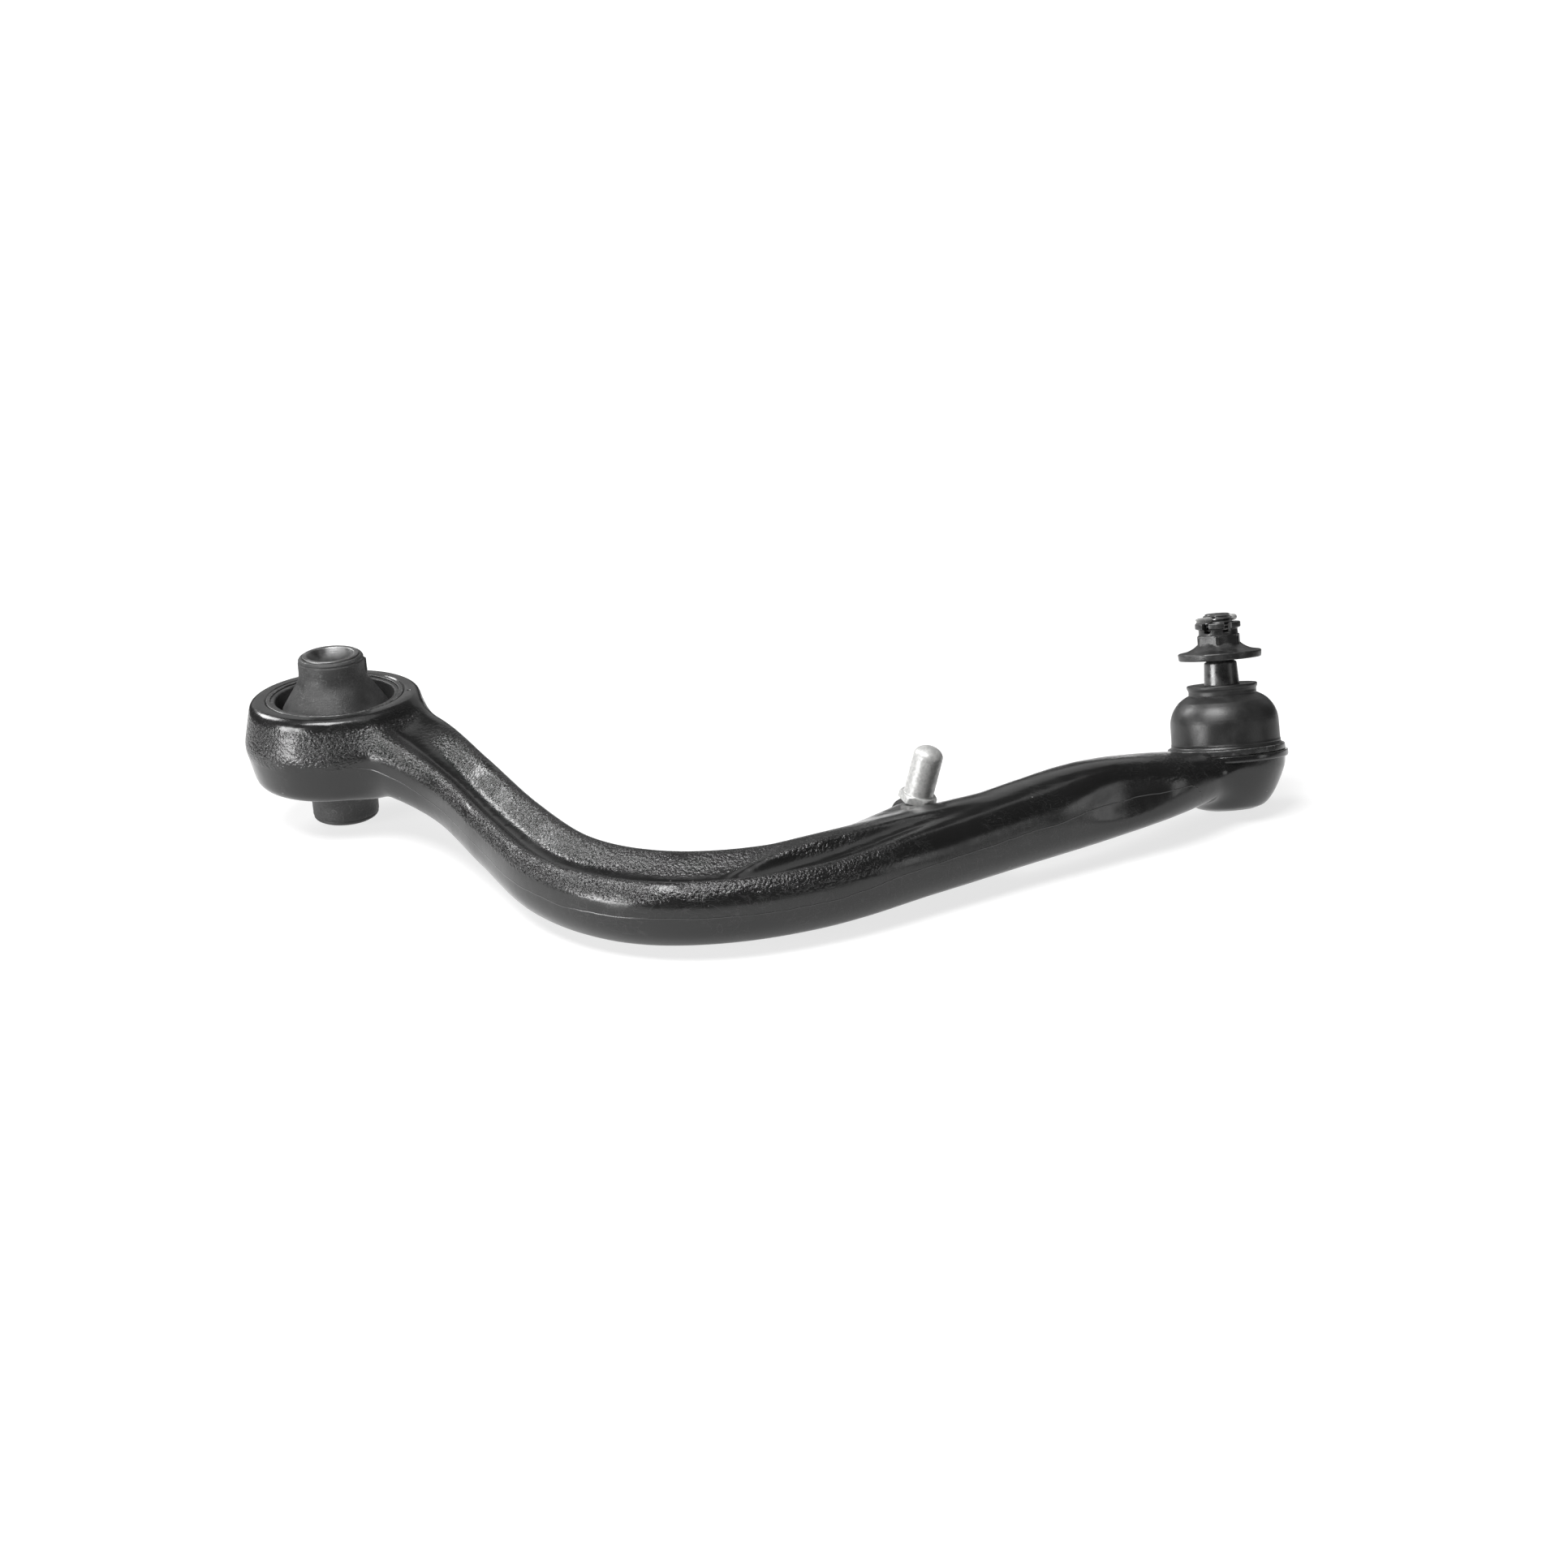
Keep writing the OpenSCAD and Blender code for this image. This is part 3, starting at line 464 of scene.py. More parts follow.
# grain: 1 where the forging is rough, on the ring's upper flank, the outer rib and the trough's inner slope;
# parting: distance in mm above the line where the two dies met
def paintArm(piece):
    points = vertexArray(piece) / mm
    t, across, rise = barPlace(points)
    radius = np.hypot(points[:, 0], points[:, 1])
    onRing = 1 - smoothStep(38.5, 42.5, radius)
    high = points[:, 2]
    ringGrain = window(*arm["ringRough"], high) * smoothStep(*arm["ringRoughFrom"], radius)
    rib = smoothStep(*arm["ribAcross"], across) * window(*arm["ribUp"], rise)
    rib = rib * (1 - smoothStep(*arm["ribEnd"], t))
    slope = window(*arm["slopeAcross"], across) * (rise > 0) * window(*arm["slopeAlong"], t)
    dimple = window(*arm["dimpleAlong"], t) * smoothStep(*arm["dimpleUp"], rise) * arm["dimpleShare"]
    barGrain = np.clip(np.maximum(rib, np.maximum(slope, dimple)), 0, 1)
    # the grain attribute also places the painted glints on the grain's peaks
    setAttribute(piece, "grain", ringGrain * onRing + barGrain * (1 - onRing))
    flank = smoothStep(*arm["partingFlank"], np.abs(across)) * (1 - smoothStep(*arm["partingEnd"], t))
    barLine = rise * arm["height"] / 2 + arm["noLine"] * (1 - flank)
    ringLine = np.where((points[:, 0] < -20) | (points[:, 1] > 20), high, arm["noLine"])
    setAttribute(piece, "parting", np.where(onRing > 0.5, ringLine, barLine))


bush = {"shell": 58, "shellWall": 1.8, "ringHeight": 37, "setback": 0.6, "skin": 2, "liningWall": 2.9,
        "ledge": 8.5, "tiltGap": 0.3, "sleeve": 24, "sleeveLength": 73, "hole": 14.5,
        "mouth": 20, "mouthDepth": 5, "end": 28, "endLength": 10, "shoulderInset": 1.7,
        "bellyPast": 3.3, "runningGap": 0.05,
        # tab of moulding flash: height, direction in degrees, width as an angle, window of heights (mm)
        "tabHeight": 0.9, "tabAngle": 12, "tabSpread": 0.035, "tabWindow": (26.5, 28.5, 33.5, 34.6)}


# turned tube with small roundings at its four corners
def bushShell():
    outer, half = bush["shell"] / 2, bush["ringHeight"] / 2
    inner = outer - bush["shellWall"]
    return turnedPiece("bushShell", [
        [inner, -half, 0.5], [outer, -half, 0.6], [outer, half, 0.6], [inner, half, 0.5]],
        loop=True, segments=160)


# turned rubber skin inside the shell, hollowed to a ball: radius = sqrt(ball^2 - height^2)
def bushLining():
    inner = bush["shell"] / 2 - bush["shellWall"]
    skin, half, low = inner - bush["skin"], bush["ringHeight"] / 2 - bush["setback"], bush["ledge"]
    ball = inner - bush["liningWall"]
    hollow = [[math.sqrt(ball ** 2 - z ** 2), z, 0] for z in np.linspace(-low, low, 15)]
    return turnedPiece("bushLining", [
        [inner, half, 0.3], [inner, -half, 0.3], [skin, -half, 0.9], [skin, -low - 1, 1],
        [skin - 1, -low, 0.6], *hollow, [skin - 1, low, 0.6], [skin, low + 1, 1], [skin, half, 0.9]],
        loop=True, segments=160)


# turned rubber: a ball in the middle, a cone and a straight end above and below; the straight end carries a
# tab of moulding flash, radius + height * window * exp(-(turn / spread)^2), and a groove below its edge
def bushCore():
    inner = bush["sleeve"] / 2 + bush["runningGap"]
    ball = bush["shell"] / 2 - bush["shellWall"] - bush["liningWall"] - bush["tiltGap"]
    half, end = bush["sleeveLength"] / 2 - bush["setback"], bush["end"] / 2
    coneTop, shoulder = bush["sleeveLength"] / 2 - bush["endLength"], ball - bush["shoulderInset"]
    ballEnd = bush["ledge"] + bush["bellyPast"]
    belly = [[math.sqrt(ball ** 2 - z ** 2), z, 0] for z in np.linspace(-ballEnd + 1.2, ballEnd - 1.2, 17)]
    upper = [[shoulder - 1.9, ballEnd, 0.8], [shoulder, ballEnd + 1.5, 0.5], [shoulder, ballEnd + 2.2, 0.6],
             [end + 0.1, coneTop, 3.0], [end, half - 2.2, 0.4], [end - 0.3, half - 1.9, 0.2],
             [end - 0.35, half - 1.4, 0.2], [end - 0.2, half - 1.1, 0.3], [end - 0.9, half, 0.5],
             [inner, half, 0.2]]
    lower = [[r, -z, c] for r, z, c in upper[::-1]]

    def withTab(radius, height, angle):
        turn = np.angle(np.exp(1j * (angle - math.radians(bush["tabAngle"]))))
        zone = (radius > 0.9 * end * mm) * window(*bush["tabWindow"], height / mm)
        return radius + zone * bush["tabHeight"] * mm * np.exp(-(turn / bush["tabSpread"]) ** 2)

    return turnedPiece("bushRubberCore", lower + belly + upper, loop=True, segments=256, step=1.1,
                       reshape=withTab)


# turned tube with a dished mouth at both ends
def bushSleeve():
    outer, half = bush["sleeve"] / 2, bush["sleeveLength"] / 2
    hole, mouth, deep = bush["hole"] / 2, bush["mouth"] / 2, half - bush["mouthDepth"]
    return turnedPiece("bushInnerSleeve", [
        [hole, -deep, 2.5], [mouth, -half, 0.5], [outer, -half, 0.3], [outer, half, 0.3],
        [mouth, half, 0.5], [hole, deep, 2.5]], loop=True, segments=128)


boot = {"foot": 22.85, "footInner": 17.85, "wide": 22.25, "wall": 1.8, "shoulder": 13, "straight": 12,
        "bottom": 5.9, "lip": 14.5, "lipTop": 34.1, "lipLow": 28.6, "grip": 0.1, "splitDegrees": 12,
        # moulded ridges: height and size of each, and their shared spread
        "ridges": [(27.4, 0.13), (30.6, 0.1), (10.2, 0.22)], "ridgeSpread": 0.28}
footRing = {"outer": 24.25, "wall": 1.4, "height": 2.7}
stud = {"ball": 24, "neck": 12, "thread": 12, "pitch": 1.5, "threadDepth": 0.82, "taperEnd": 43.1,
        "taperEndWidth": 13.4, "taperRatio": 8, "taperStart": 24, "tip": 63.5, "crossHole": 3}
nut = {"seat": 44.6, "flange": 34.4, "rim": 2.9, "flats": 17, "coneTop": 5.6, "hexTop": 10.1, "neckTop": 12.4,
       "top": 15, "neck": 16.2, "crown": 18.8, "slot": 3.4, "turn": 15,
       "cornerWear": 0.35, "slotReach": 14}
cotter = {"width": 2.5, "height": 61, "turn": 45, "eye": 5, "reach": 15.7, "eyeAt": 9.2}


# half of the stud's width at a height: (width at the end + (end - height) / ratio) / 2
def taperRadius(height):
    return (stud["taperEndWidth"] + (stud["taperEnd"] - height) / stud["taperRatio"]) / 2


# the boot is made in two halves that meet in a plane; the outside is a straight wall, a quarter circle and a
# flared lip, and each ridge adds size * exp(-((height - at) / spread)^2)
def bootHalf(name, upperHalf):
    wide, wall, big = boot["wide"], boot["wall"], boot["shoulder"]
    centre, level = wide - big, boot["bottom"] + boot["straight"]
    footTop = boot["bottom"] + footRing["height"]
    arc = lambda r, a, b, n: [[centre + r * math.cos(x), level + r * math.sin(x), 0]
                              for x in np.radians(np.linspace(a, b, n))]
    split = boot["splitDegrees"]
    if upperHalf:
        profile = arc(big, split, 69, 13) + [
            [13.9, 31.9, 0.6], [boot["lip"], 32.9, 0.5], [boot["lip"], boot["lipTop"], 0.5],
            [taperRadius(boot["lipTop"]) + boot["grip"], boot["lipTop"], 0.4],
            [taperRadius(boot["lipLow"]) + boot["grip"], boot["lipLow"], 0.4],
            [boot["lip"] - 3, boot["lipLow"], 1.5],
        ] + arc(big - wall, 62, split, 10)
    else:
        profile = arc(big - wall, split, 0, 3) + [
            [wide - wall, footTop + 1, 1], [boot["footInner"], boot["bottom"] + 1.5, 0.8],
            [boot["footInner"], boot["bottom"], 0.3], [boot["foot"], boot["bottom"], 0.3],
            [boot["foot"], footTop + 0.3, 0.3], [wide + 0.1, footTop + 1.1, 0.8],
        ] + arc(big, 0, split, 3)

    def withRidges(radius, height, angle):
        z = height / mm
        outside = np.hypot(radius / mm - centre, np.clip(z - level, 0, None)) > big - wall / 2
        bump = sum(size * np.exp(-((z - at) / boot["ridgeSpread"]) ** 2) for at, size in boot["ridges"])
        return radius + outside * bump * mm

    return turnedPiece(name, profile, loop=True, segments=144, basis=ballFrame, origin=ballCentre,
                       step=0.55, reshape=withRidges)


# turned steel band around the boot's foot
def bootFootRing():
    outer, low, top = footRing["outer"], boot["bottom"], boot["bottom"] + footRing["height"]
    return turnedPiece("bootFootRing", [
        [outer - footRing["wall"], low, 0.2], [outer, low, 0.7], [outer - 0.2, top, 0.9],
        [outer - footRing["wall"], top, 0.4]], loop=True, segments=144, basis=ballFrame, origin=ballCentre)


# thread: radius = crest - depth * |1 - 2 phase|, where phase = height/pitch - angle/turn,
# with flattened crests
def ballStud():
    r, tip, crest = stud["ball"] / 2, stud["tip"], stud["thread"] / 2
    start = stud["taperEnd"] + 0.8
    ball = [[r * math.sin(a), -r * math.cos(a), 0] for a in np.linspace(0, math.pi * 0.83, 30)]
    profile = ball + [[stud["neck"] / 2, 14, 2], [stud["neck"] / 2, 21, 1.5],
                      [taperRadius(stud["taperStart"]), stud["taperStart"], 0.6],
                      [stud["taperEndWidth"] / 2, stud["taperEnd"], 0.5], [crest - 0.7, start, 0.3],
                      [crest - 0.7, start + 1.2, 0.2], [crest, start + 1.8, 0.2],
                      [crest, tip - 1.3, 0.3], [crest - 1.3, tip - 0.25, 0.6], [0, tip, 0]]

    def threaded(radius, height, angle):
        phase = (height / mm / stud["pitch"] - angle / (2 * np.pi)) % 1
        groove = np.clip(1.15 - 1.3 * np.abs(2 * phase - 1), 0, 1)
        zone = window(start + 1.6, start + 2.6, tip - 1.0, tip - 0.5, height / mm)
        return radius - zone * groove * stud["threadDepth"] * mm * (radius > 0)

    piece = turnedPiece("ballStud", profile, segments=96, basis=ballFrame, origin=ballCentre, step=0.24,
                        reshape=threaded)
    bore, past = stud["crossHole"] / 2, crest + 2
    hole = turnedPiece("crossHole", [[0, -past, 0], [bore, -past, 0], [bore, past, 0], [0, past, 0]],
                       basis=crossBasis(), origin=ballCentre + studAxis * cotter["height"] * mm, segments=32)
    combine(piece, [hole], "DIFFERENCE")
    shadeSmooth(piece, 40)
    return piece


# axes of the split pin: Z runs along the pin towards its eye
def crossBasis():
    turn = math.radians(cotter["turn"])
    along = ballFrame @ np.array([math.cos(turn), math.sin(turn), 0])
    return np.stack([studAxis, np.cross(along, studAxis), along], 1)


# turned nut whose middle is a hexagon with worn corners and a chamfer on top, cut by three slots
def castleNut():
    seat, corner = nut["seat"], nut["flats"] / math.sqrt(3) - nut["cornerWear"]
    outer, bore, flat = nut["flange"] / 2, stud["thread"] / 2 + 0.1, nut["flats"] / 2
    coneTop, hexTop, neckTop, top = (seat + nut[key] for key in ("coneTop", "hexTop", "neckTop", "top"))
    profile = [
        [bore + 1.2, seat, 0.3], [outer - 0.3, seat, 0.5], [outer, seat + nut["rim"], 0.7],
        [flat + 4.2, seat + nut["rim"] + 0.8, 2.5], [flat + 1.2, coneTop - 0.2, 1.2],
        [flat - 0.4, coneTop + 1.4, 0], [nut["neck"] / 2, hexTop, 0], [nut["neck"] / 2, neckTop, 0.4],
        [nut["crown"] / 2, neckTop + 0.2, 0.5], [nut["crown"] / 2, top, 0.7],
        [bore + 0.9, top, 0.4], [bore, top - 1, 0], [bore, seat + 1, 0]]

    def hexagon(radius, height, angle):
        z = height / mm
        chamfer = corner - np.clip(z - (hexTop - 0.7), 0, None) * 1.3
        hexRadius = np.minimum(hexagonRadius(nut["flats"], angle - math.radians(nut["turn"])), corner)
        inZone = (z < hexTop) & (z > seat + nut["rim"] - 0.5) & (radius > (bore + 1.5) * mm)
        return np.where(inZone, np.maximum(radius, np.minimum(hexRadius, chamfer) * mm), radius)

    piece = turnedPiece("castleNut", profile, loop=True, segments=216, basis=ballFrame, origin=ballCentre,
                        step=0.4, reshape=hexagon)
    turns = [math.radians(cotter["turn"] + 60 * k) for k in range(3)]
    slots = [slotCutter("slot", nut["slot"], np.array([math.cos(a), math.sin(a), 0]), hexTop + 0.5, top + 3)
             for a in turns]
    combine(piece, slots, "DIFFERENCE")
    shadeSmooth(piece, 32)
    return piece


# slot cutter in the ball joint's frame: an outline with a round bottom carried along a straight line
def slotCutter(name, width, along, low, high):
    turn = np.linspace(np.pi, 2 * np.pi, 9)
    reach, across = along * nut["slotReach"], np.array([-along[1], along[0], 0])
    bottom = np.stack([np.cos(turn), 0.35 * np.sin(turn)], 1) * width / 2
    outline = np.vstack([bottom + [0, low + 0.18 * width], [[width / 2, high], [-width / 2, high]]])
    flat = outline[:, :1] * across + outline[:, 1:] * np.array([0, 0, 1.0])
    rings = np.stack([flat - reach, flat + reach]) @ ballFrame.T * mm + ballCentre
    piece = makeObject(name, *closedRings(rings))
    cleanUp(piece)
    return piece


# half-round wire carried along leg, eye and leg: the path runs out, round the eye and back, and the wire's
# flat side faces the pin's middle; the legs part by 0.35 share^2 towards their ends
def splitPin():
    half, reach, at = cotter["width"] / 2, cotter["reach"], cotter["eyeAt"]
    eye = cotter["eye"] / 2 - cotter["width"] / 4
    out = np.linspace(-reach - 1.2, at - eye - 1.2, 26)
    parted = 0.35 * np.clip((-out - 6.5) / 8, 0, 1) ** 2
    turn = np.radians(np.linspace(150, -150, 41))
    firstLeg = np.stack([out, 0.02 + parted], 1)
    loop = np.stack([at + eye * np.cos(turn), eye * np.sin(turn)], 1)
    secondLeg = np.stack([out[2:][::-1], -0.02 - parted[2:][::-1]], 1)
    path = np.vstack([firstLeg, loop, secondLeg])
    along = np.gradient(path, axis=0)
    along /= np.linalg.norm(along, axis=1, keepdims=True)
    left = np.stack([-along[:, 1], along[:, 0]], 1)
    a = np.linspace(0, np.pi, 13)
    section = np.stack([np.sin(a) * 0.96, np.cos(a)], 1) * half
    taper = np.ones(len(path))
    taper[[0, -1]] = 0.55
    taper[[1, -2]] = 0.9
    plane = path[:, None] + left[:, None] * section[None, :, :1] * taper[:, None, None]
    return plane, section[None, :, 1] * taper[:, None]


# the split pin's wire put in its place across the stud
def cotterPin():
    plane, height = splitPin()
    local = np.stack([height, plane[..., 1], plane[..., 0]], -1)
    rings = local @ crossBasis().T * mm + ballCentre + studAxis * cotter["height"] * mm
    piece = makeObject("cotterPin", *closedRings(rings))
    cleanUp(piece, 1e-6)
    shadeSmooth(piece, 50)
    return piece


bracket = {"width": 12, "length": 20.5, "dome": 4.2, "flats": 14, "shank": 10, "shankLength": 14}


# turned pin with a domed end and a hexagonal collar
def bracketPin():
    r, low = bracket["width"] / 2, collarThickness / mm
    top, shank, end = low + bracket["length"], bracket["shank"] / 2, bracket["shankLength"]
    dome = [[r * math.cos(a), top - bracket["dome"] + bracket["dome"] * math.sin(a), 0]
            for a in np.linspace(0, math.pi / 2, 14)]
    corner = bracket["flats"] / math.sqrt(3)
    profile = [[0, -end, 0], [shank - 0.6, -end, 0.3], [shank, -end + 0.8, 0.3], [shank, 0, 0.1],
               [corner, 0, 0.2], [corner, low, 0.25], [r + 0.05, low, 0.4], [r, low + 0.8, 0.3]] + dome

    def hexagon(radius, height, angle):
        z = height / mm
        chamfer = corner - 0.3 - np.clip(z - (low - 0.6), 0, None) * 1.2
        hexRadius = np.minimum(hexagonRadius(bracket["flats"], angle), chamfer) * mm
        return np.where((z < low + 0.01) & (z > -0.01), np.minimum(radius, hexRadius), radius)

    return turnedPiece("bracketPin", profile, segments=144, basis=pinFrame, origin=pinBase, step=0.45,
                       reshape=hexagon)


# share by which each point stands out of its neighbours, 0.5 on a flat face: the mean over its edges of
# normal . (point - neighbour) / length, half of it taken from the nearest points
def paintEdges(piece, gain=1.0):
    mesh = piece.data
    points, count = vertexArray(piece), len(mesh.vertices)
    normals = np.empty(count * 3, np.float32)
    mesh.vertex_normals.foreach_get("vector", normals)
    normals = normals.reshape(-1, 3)
    ends = np.empty(len(mesh.edges) * 2, np.int64)
    mesh.edges.foreach_get("vertices", ends)
    a, b = ends[::2], ends[1::2]
    along = points[a] - points[b]
    along /= np.maximum(np.linalg.norm(along, axis=1, keepdims=True), 1e-9)
    degree = np.maximum(np.bincount(ends, minlength=count), 1)
    atFirst, atSecond = (normals[a] * along).sum(1), (normals[b] * along).sum(1)
    value = (np.bincount(a, atFirst, count) - np.bincount(b, atSecond, count)) / degree
    nearby = (np.bincount(a, value[b], count) + np.bincount(b, value[a], count)) / degree
    setAttribute(piece, "edge", np.clip(0.5 + gain * (0.5 * value + 0.5 * nearby), 0, 1))


# a shader node with its settings and its inputs, which are numbers, colours or other nodes' sockets
def addNode(tree, kind, inputs=None, **settings):
    node = tree.nodes.new("ShaderNode" + kind)
    for key, value in settings.items():
        setattr(node, key, value)
    for key, value in (inputs or {}).items():
        if isinstance(value, bpy.types.NodeSocket):
            tree.links.new(value, node.inputs[key])
        else:
            node.inputs[key].default_value = value
    return node


# arithmetic between sockets and numbers
def calc(tree, operation, *values):
    return addNode(tree, "Math", dict(enumerate(values)), operation=operation).outputs[0]


def plus(tree, a, b):
    return calc(tree, "ADD", a, b)


def minus(tree, a, b):
    return calc(tree, "SUBTRACT", a, b)


def times(tree, a, b):
    return calc(tree, "MULTIPLY", a, b)


# smooth step of a value from low to high, put out as start to end
def ramp(tree, value, low, high, start=0.0, end=1.0):
    return addNode(tree, "MapRange", {"Value": value, "From Min": low, "From Max": high, "To Min": start,
                                      "To Max": end}, interpolation_type="SMOOTHSTEP").outputs["Result"]


def noise(tree, place, scale, detail=2.0, rough=0.5, distortion=0.0):
    return addNode(tree, "TexNoise", {"Vector": place, "Scale": scale, "Detail": detail, "Roughness": rough,
                                      "Distortion": distortion}).outputs["Fac"]


# a noise pulled out to run from 0 to 1
def clouds(tree, place, scale, detail):
    return ramp(tree, noise(tree, place, scale, detail), 0.35, 0.7)


def stretched(tree, place, size):
    return addNode(tree, "VectorMath", {0: place, 1: size}, operation="MULTIPLY").outputs["Vector"]


# an empty node group with a position and other numbers as inputs, and values as outputs
def newGroup(name, inputs, outputs):
    tree = bpy.data.node_groups.new(name, "ShaderNodeTree")
    tree.interface.new_socket("Position", in_out="INPUT", socket_type="NodeSocketVector")
    for label, value in inputs.items():
        tree.interface.new_socket(label, in_out="INPUT", socket_type="NodeSocketFloat").default_value = value
    for label in outputs:
        tree.interface.new_socket(label, in_out="OUTPUT", socket_type="NodeSocketFloat")
    return tree, tree.nodes.new("NodeGroupInput").outputs, tree.nodes.new("NodeGroupOutput").inputs


# rough skin of a forging: height = 1.3 * fine noise - 0.7 * distance to the nearest cell's middle
def castGrainGroup():
    tree, given, result = newGroup("castGrain", {"Scale": 1200.0}, ["Height", "Peaks"])
    fine = noise(tree, given["Position"], given["Scale"], 2.5, 0.6, 0.3)
    cells = addNode(tree, "TexVoronoi", {"Vector": given["Position"], "Smoothness": 0.6,
                                         "Scale": times(tree, given["Scale"], 0.75)},
                    feature="SMOOTH_F1").outputs["Distance"]
    height = minus(tree, times(tree, fine, 1.3), times(tree, cells, 0.7))
    tree.links.new(height, result["Height"])
    # Peaks: where the grain stands highest, which the forging paints lighter as glints
    tree.links.new(ramp(tree, height, 0.28, 0.55), result["Peaks"])
    return tree


# specks of dust: a dot in the middle of each Voronoi cell whose random number passes the density
def dustGroup():
    tree, given, result = newGroup("dustSpecks", {"Scale": 260.0, "Density": 0.1}, ["Mask"])
    cell = addNode(tree, "TexVoronoi", {"Vector": given["Position"], "Scale": given["Scale"]})
    chance = addNode(tree, "SeparateColor", {"Color": cell.outputs["Color"]}).outputs["Red"]
    size = times(tree, minus(tree, chance, minus(tree, 1.0, given["Density"])), 1.1)
    uneven = times(tree, noise(tree, given["Position"], times(tree, given["Scale"], 4.0)), 0.1)
    away = plus(tree, cell.outputs["Distance"], uneven)
    tree.links.new(ramp(tree, minus(tree, size, away), -0.07, 0.0), result["Mask"])
    return tree


# fine scratches: thin bands of a noise pulled long, shown only inside cloudy patches
def scuffGroup():
    tree, given, result = newGroup("scuffs", {"Scale": 60.0, "Amount": 0.5}, ["Mask"])
    bands = []
    for size in ((1.0, 1.0, 7.0), (1.0, 6.0, 1.6)):
        pulled = stretched(tree, given["Position"], size)
        band = noise(tree, pulled, times(tree, given["Scale"], 3.0), 1.0, 0.5, 0.8)
        bands.append(ramp(tree, calc(tree, "ABSOLUTE", minus(tree, band, 0.5)), 0.0, 0.018, 1.0, 0.0))
    patch = noise(tree, given["Position"], given["Scale"], 1.0)
    limit = minus(tree, 0.95, times(tree, given["Amount"], 0.5))
    patch = ramp(tree, patch, minus(tree, limit, 0.15), limit)
    tree.links.new(times(tree, calc(tree, "MAXIMUM", *bands), patch), result["Mask"])
    return tree


# worn edges: where the edge attribute, roughened by a noise, passes a limit
def edgeWearGroup():
    tree, given, result = newGroup("edgeWear", {"Edge": 0.5, "Scale": 500.0, "Limit": 0.62}, ["Mask"])
    uneven = times(tree, minus(tree, noise(tree, given["Position"], given["Scale"], 3.0), 0.5), 0.25)
    past = minus(tree, plus(tree, given["Edge"], uneven), given["Limit"])
    tree.links.new(ramp(tree, past, 0.0, 0.12), result["Mask"])
    return tree


groups = {"grain": castGrainGroup(), "dust": dustGroup(), "scuffs": scuffGroup(), "wear": edgeWearGroup()}


# a shared group placed in a material, with this material's own values
def useGroup(tree, name, place, **inputs):
    node = tree.nodes.new("ShaderNodeGroup")
    node.node_tree = groups[name]
    tree.links.new(place, node.inputs["Position"])
    for key, value in inputs.items():
        if isinstance(value, bpy.types.NodeSocket):
            tree.links.new(value, node.inputs[key])
        else:
            node.inputs[key].default_value = value
    return node.outputs


def attributeOf(tree, name):
    return addNode(tree, "Attribute", attribute_name=name).outputs["Fac"]


# first * (1 - amount) + second * amount, where each is a grey, a colour or a socket
def blendColour(tree, amount, first, second):
    node = addNode(tree, "Mix", data_type="RGBA")
    for index, value in ((0, amount), (6, first), (7, second)):
        if isinstance(value, bpy.types.NodeSocket):
            tree.links.new(value, node.inputs[index])
        elif index:
            node.inputs[index].default_value = (*(value if isinstance(value, tuple) else [value] * 3), 1)
        else:
            node.inputs[index].default_value = value
    return node.outputs[2]


# lays a shade over a colour, by a share, where a mask shows
def marked(tree, colour, mask, share, shade):
    return blendColour(tree, times(tree, mask, share), colour, shade)


def dustMask(tree, place, look):
    scale, density = look["dust"][:2]
    return useGroup(tree, "dust", place, Scale=scale, Density=density)["Mask"]


def scuffMask(tree, place, look):
    scale, amount = look["scuffs"][:2]
    return useGroup(tree, "scuffs", place, Scale=scale, Amount=amount)["Mask"]


def wearMask(tree, place, look):
    return useGroup(tree, "wear", place, Edge=attributeOf(tree, "edge"), Limit=look["wear"][0])["Mask"]


# one material: look holds its numbers, and detail(tree, place, look) gives the colour, roughness and height
def newMaterial(name, look, detail):
    material = bpy.data.materials.new(name)
    material.use_nodes = True
    tree = material.node_tree
    shader = tree.nodes["Principled BSDF"]
    place = tree.nodes.new("ShaderNodeTexCoord").outputs["Object"]
    colour, roughness, height = detail(tree, place, look)
    tree.links.new(colour, shader.inputs["Base Color"])
    tree.links.new(roughness, shader.inputs["Roughness"])
    bump = addNode(tree, "Bump", {"Height": height, "Strength": look["bump"], "Distance": look["relief"]})
    tree.links.new(bump.outputs["Normal"], shader.inputs["Normal"])
    shader.inputs["Metallic"].default_value = look.get("metallic", 0.0)
    shader.inputs["Specular IOR Level"].default_value = look.get("specular", 0.5)
    return material


# in each look, colour and roughness run from the darkest cloud to the lightest; cloud, fine and the like are
# a noise's scale and detail; dust is scale, density, share and shade; scuffs scale, amount, share and shade;
# wear limit, share and shade; bump is the strength and relief the depth in metres
forging = {"bump": 1.0, "relief": 0.00047, "colour": (0.006, 0.011), "cloud": (35.0, 3.0),
           "roughness": (0.16, 0.25), "roughCloud": (120.0, 4.0), "dustRoughness": 0.2,
           "grainScale": 950.0, "grainShade": 0.012, "patches": (55.0, 2.0), "leastPatch": 0.35,
           "lineWander": (45.0, 3.0), "wanderReach": 3.0, "lineWidth": 0.32, "line": (0.6, 0.06),
           "lineHeight": 0.15, "skin": (900.0, 2.0), "skinHeight": 0.02, "swell": (90.0, 2.0),
           "swellHeight": 0.3, "scuffs": (38.0, 0.75, 0.12, 0.12), "wear": (0.60, 0.3, 0.07),
           "dust": (230.0, 0.12, 0.55, 0.2)}
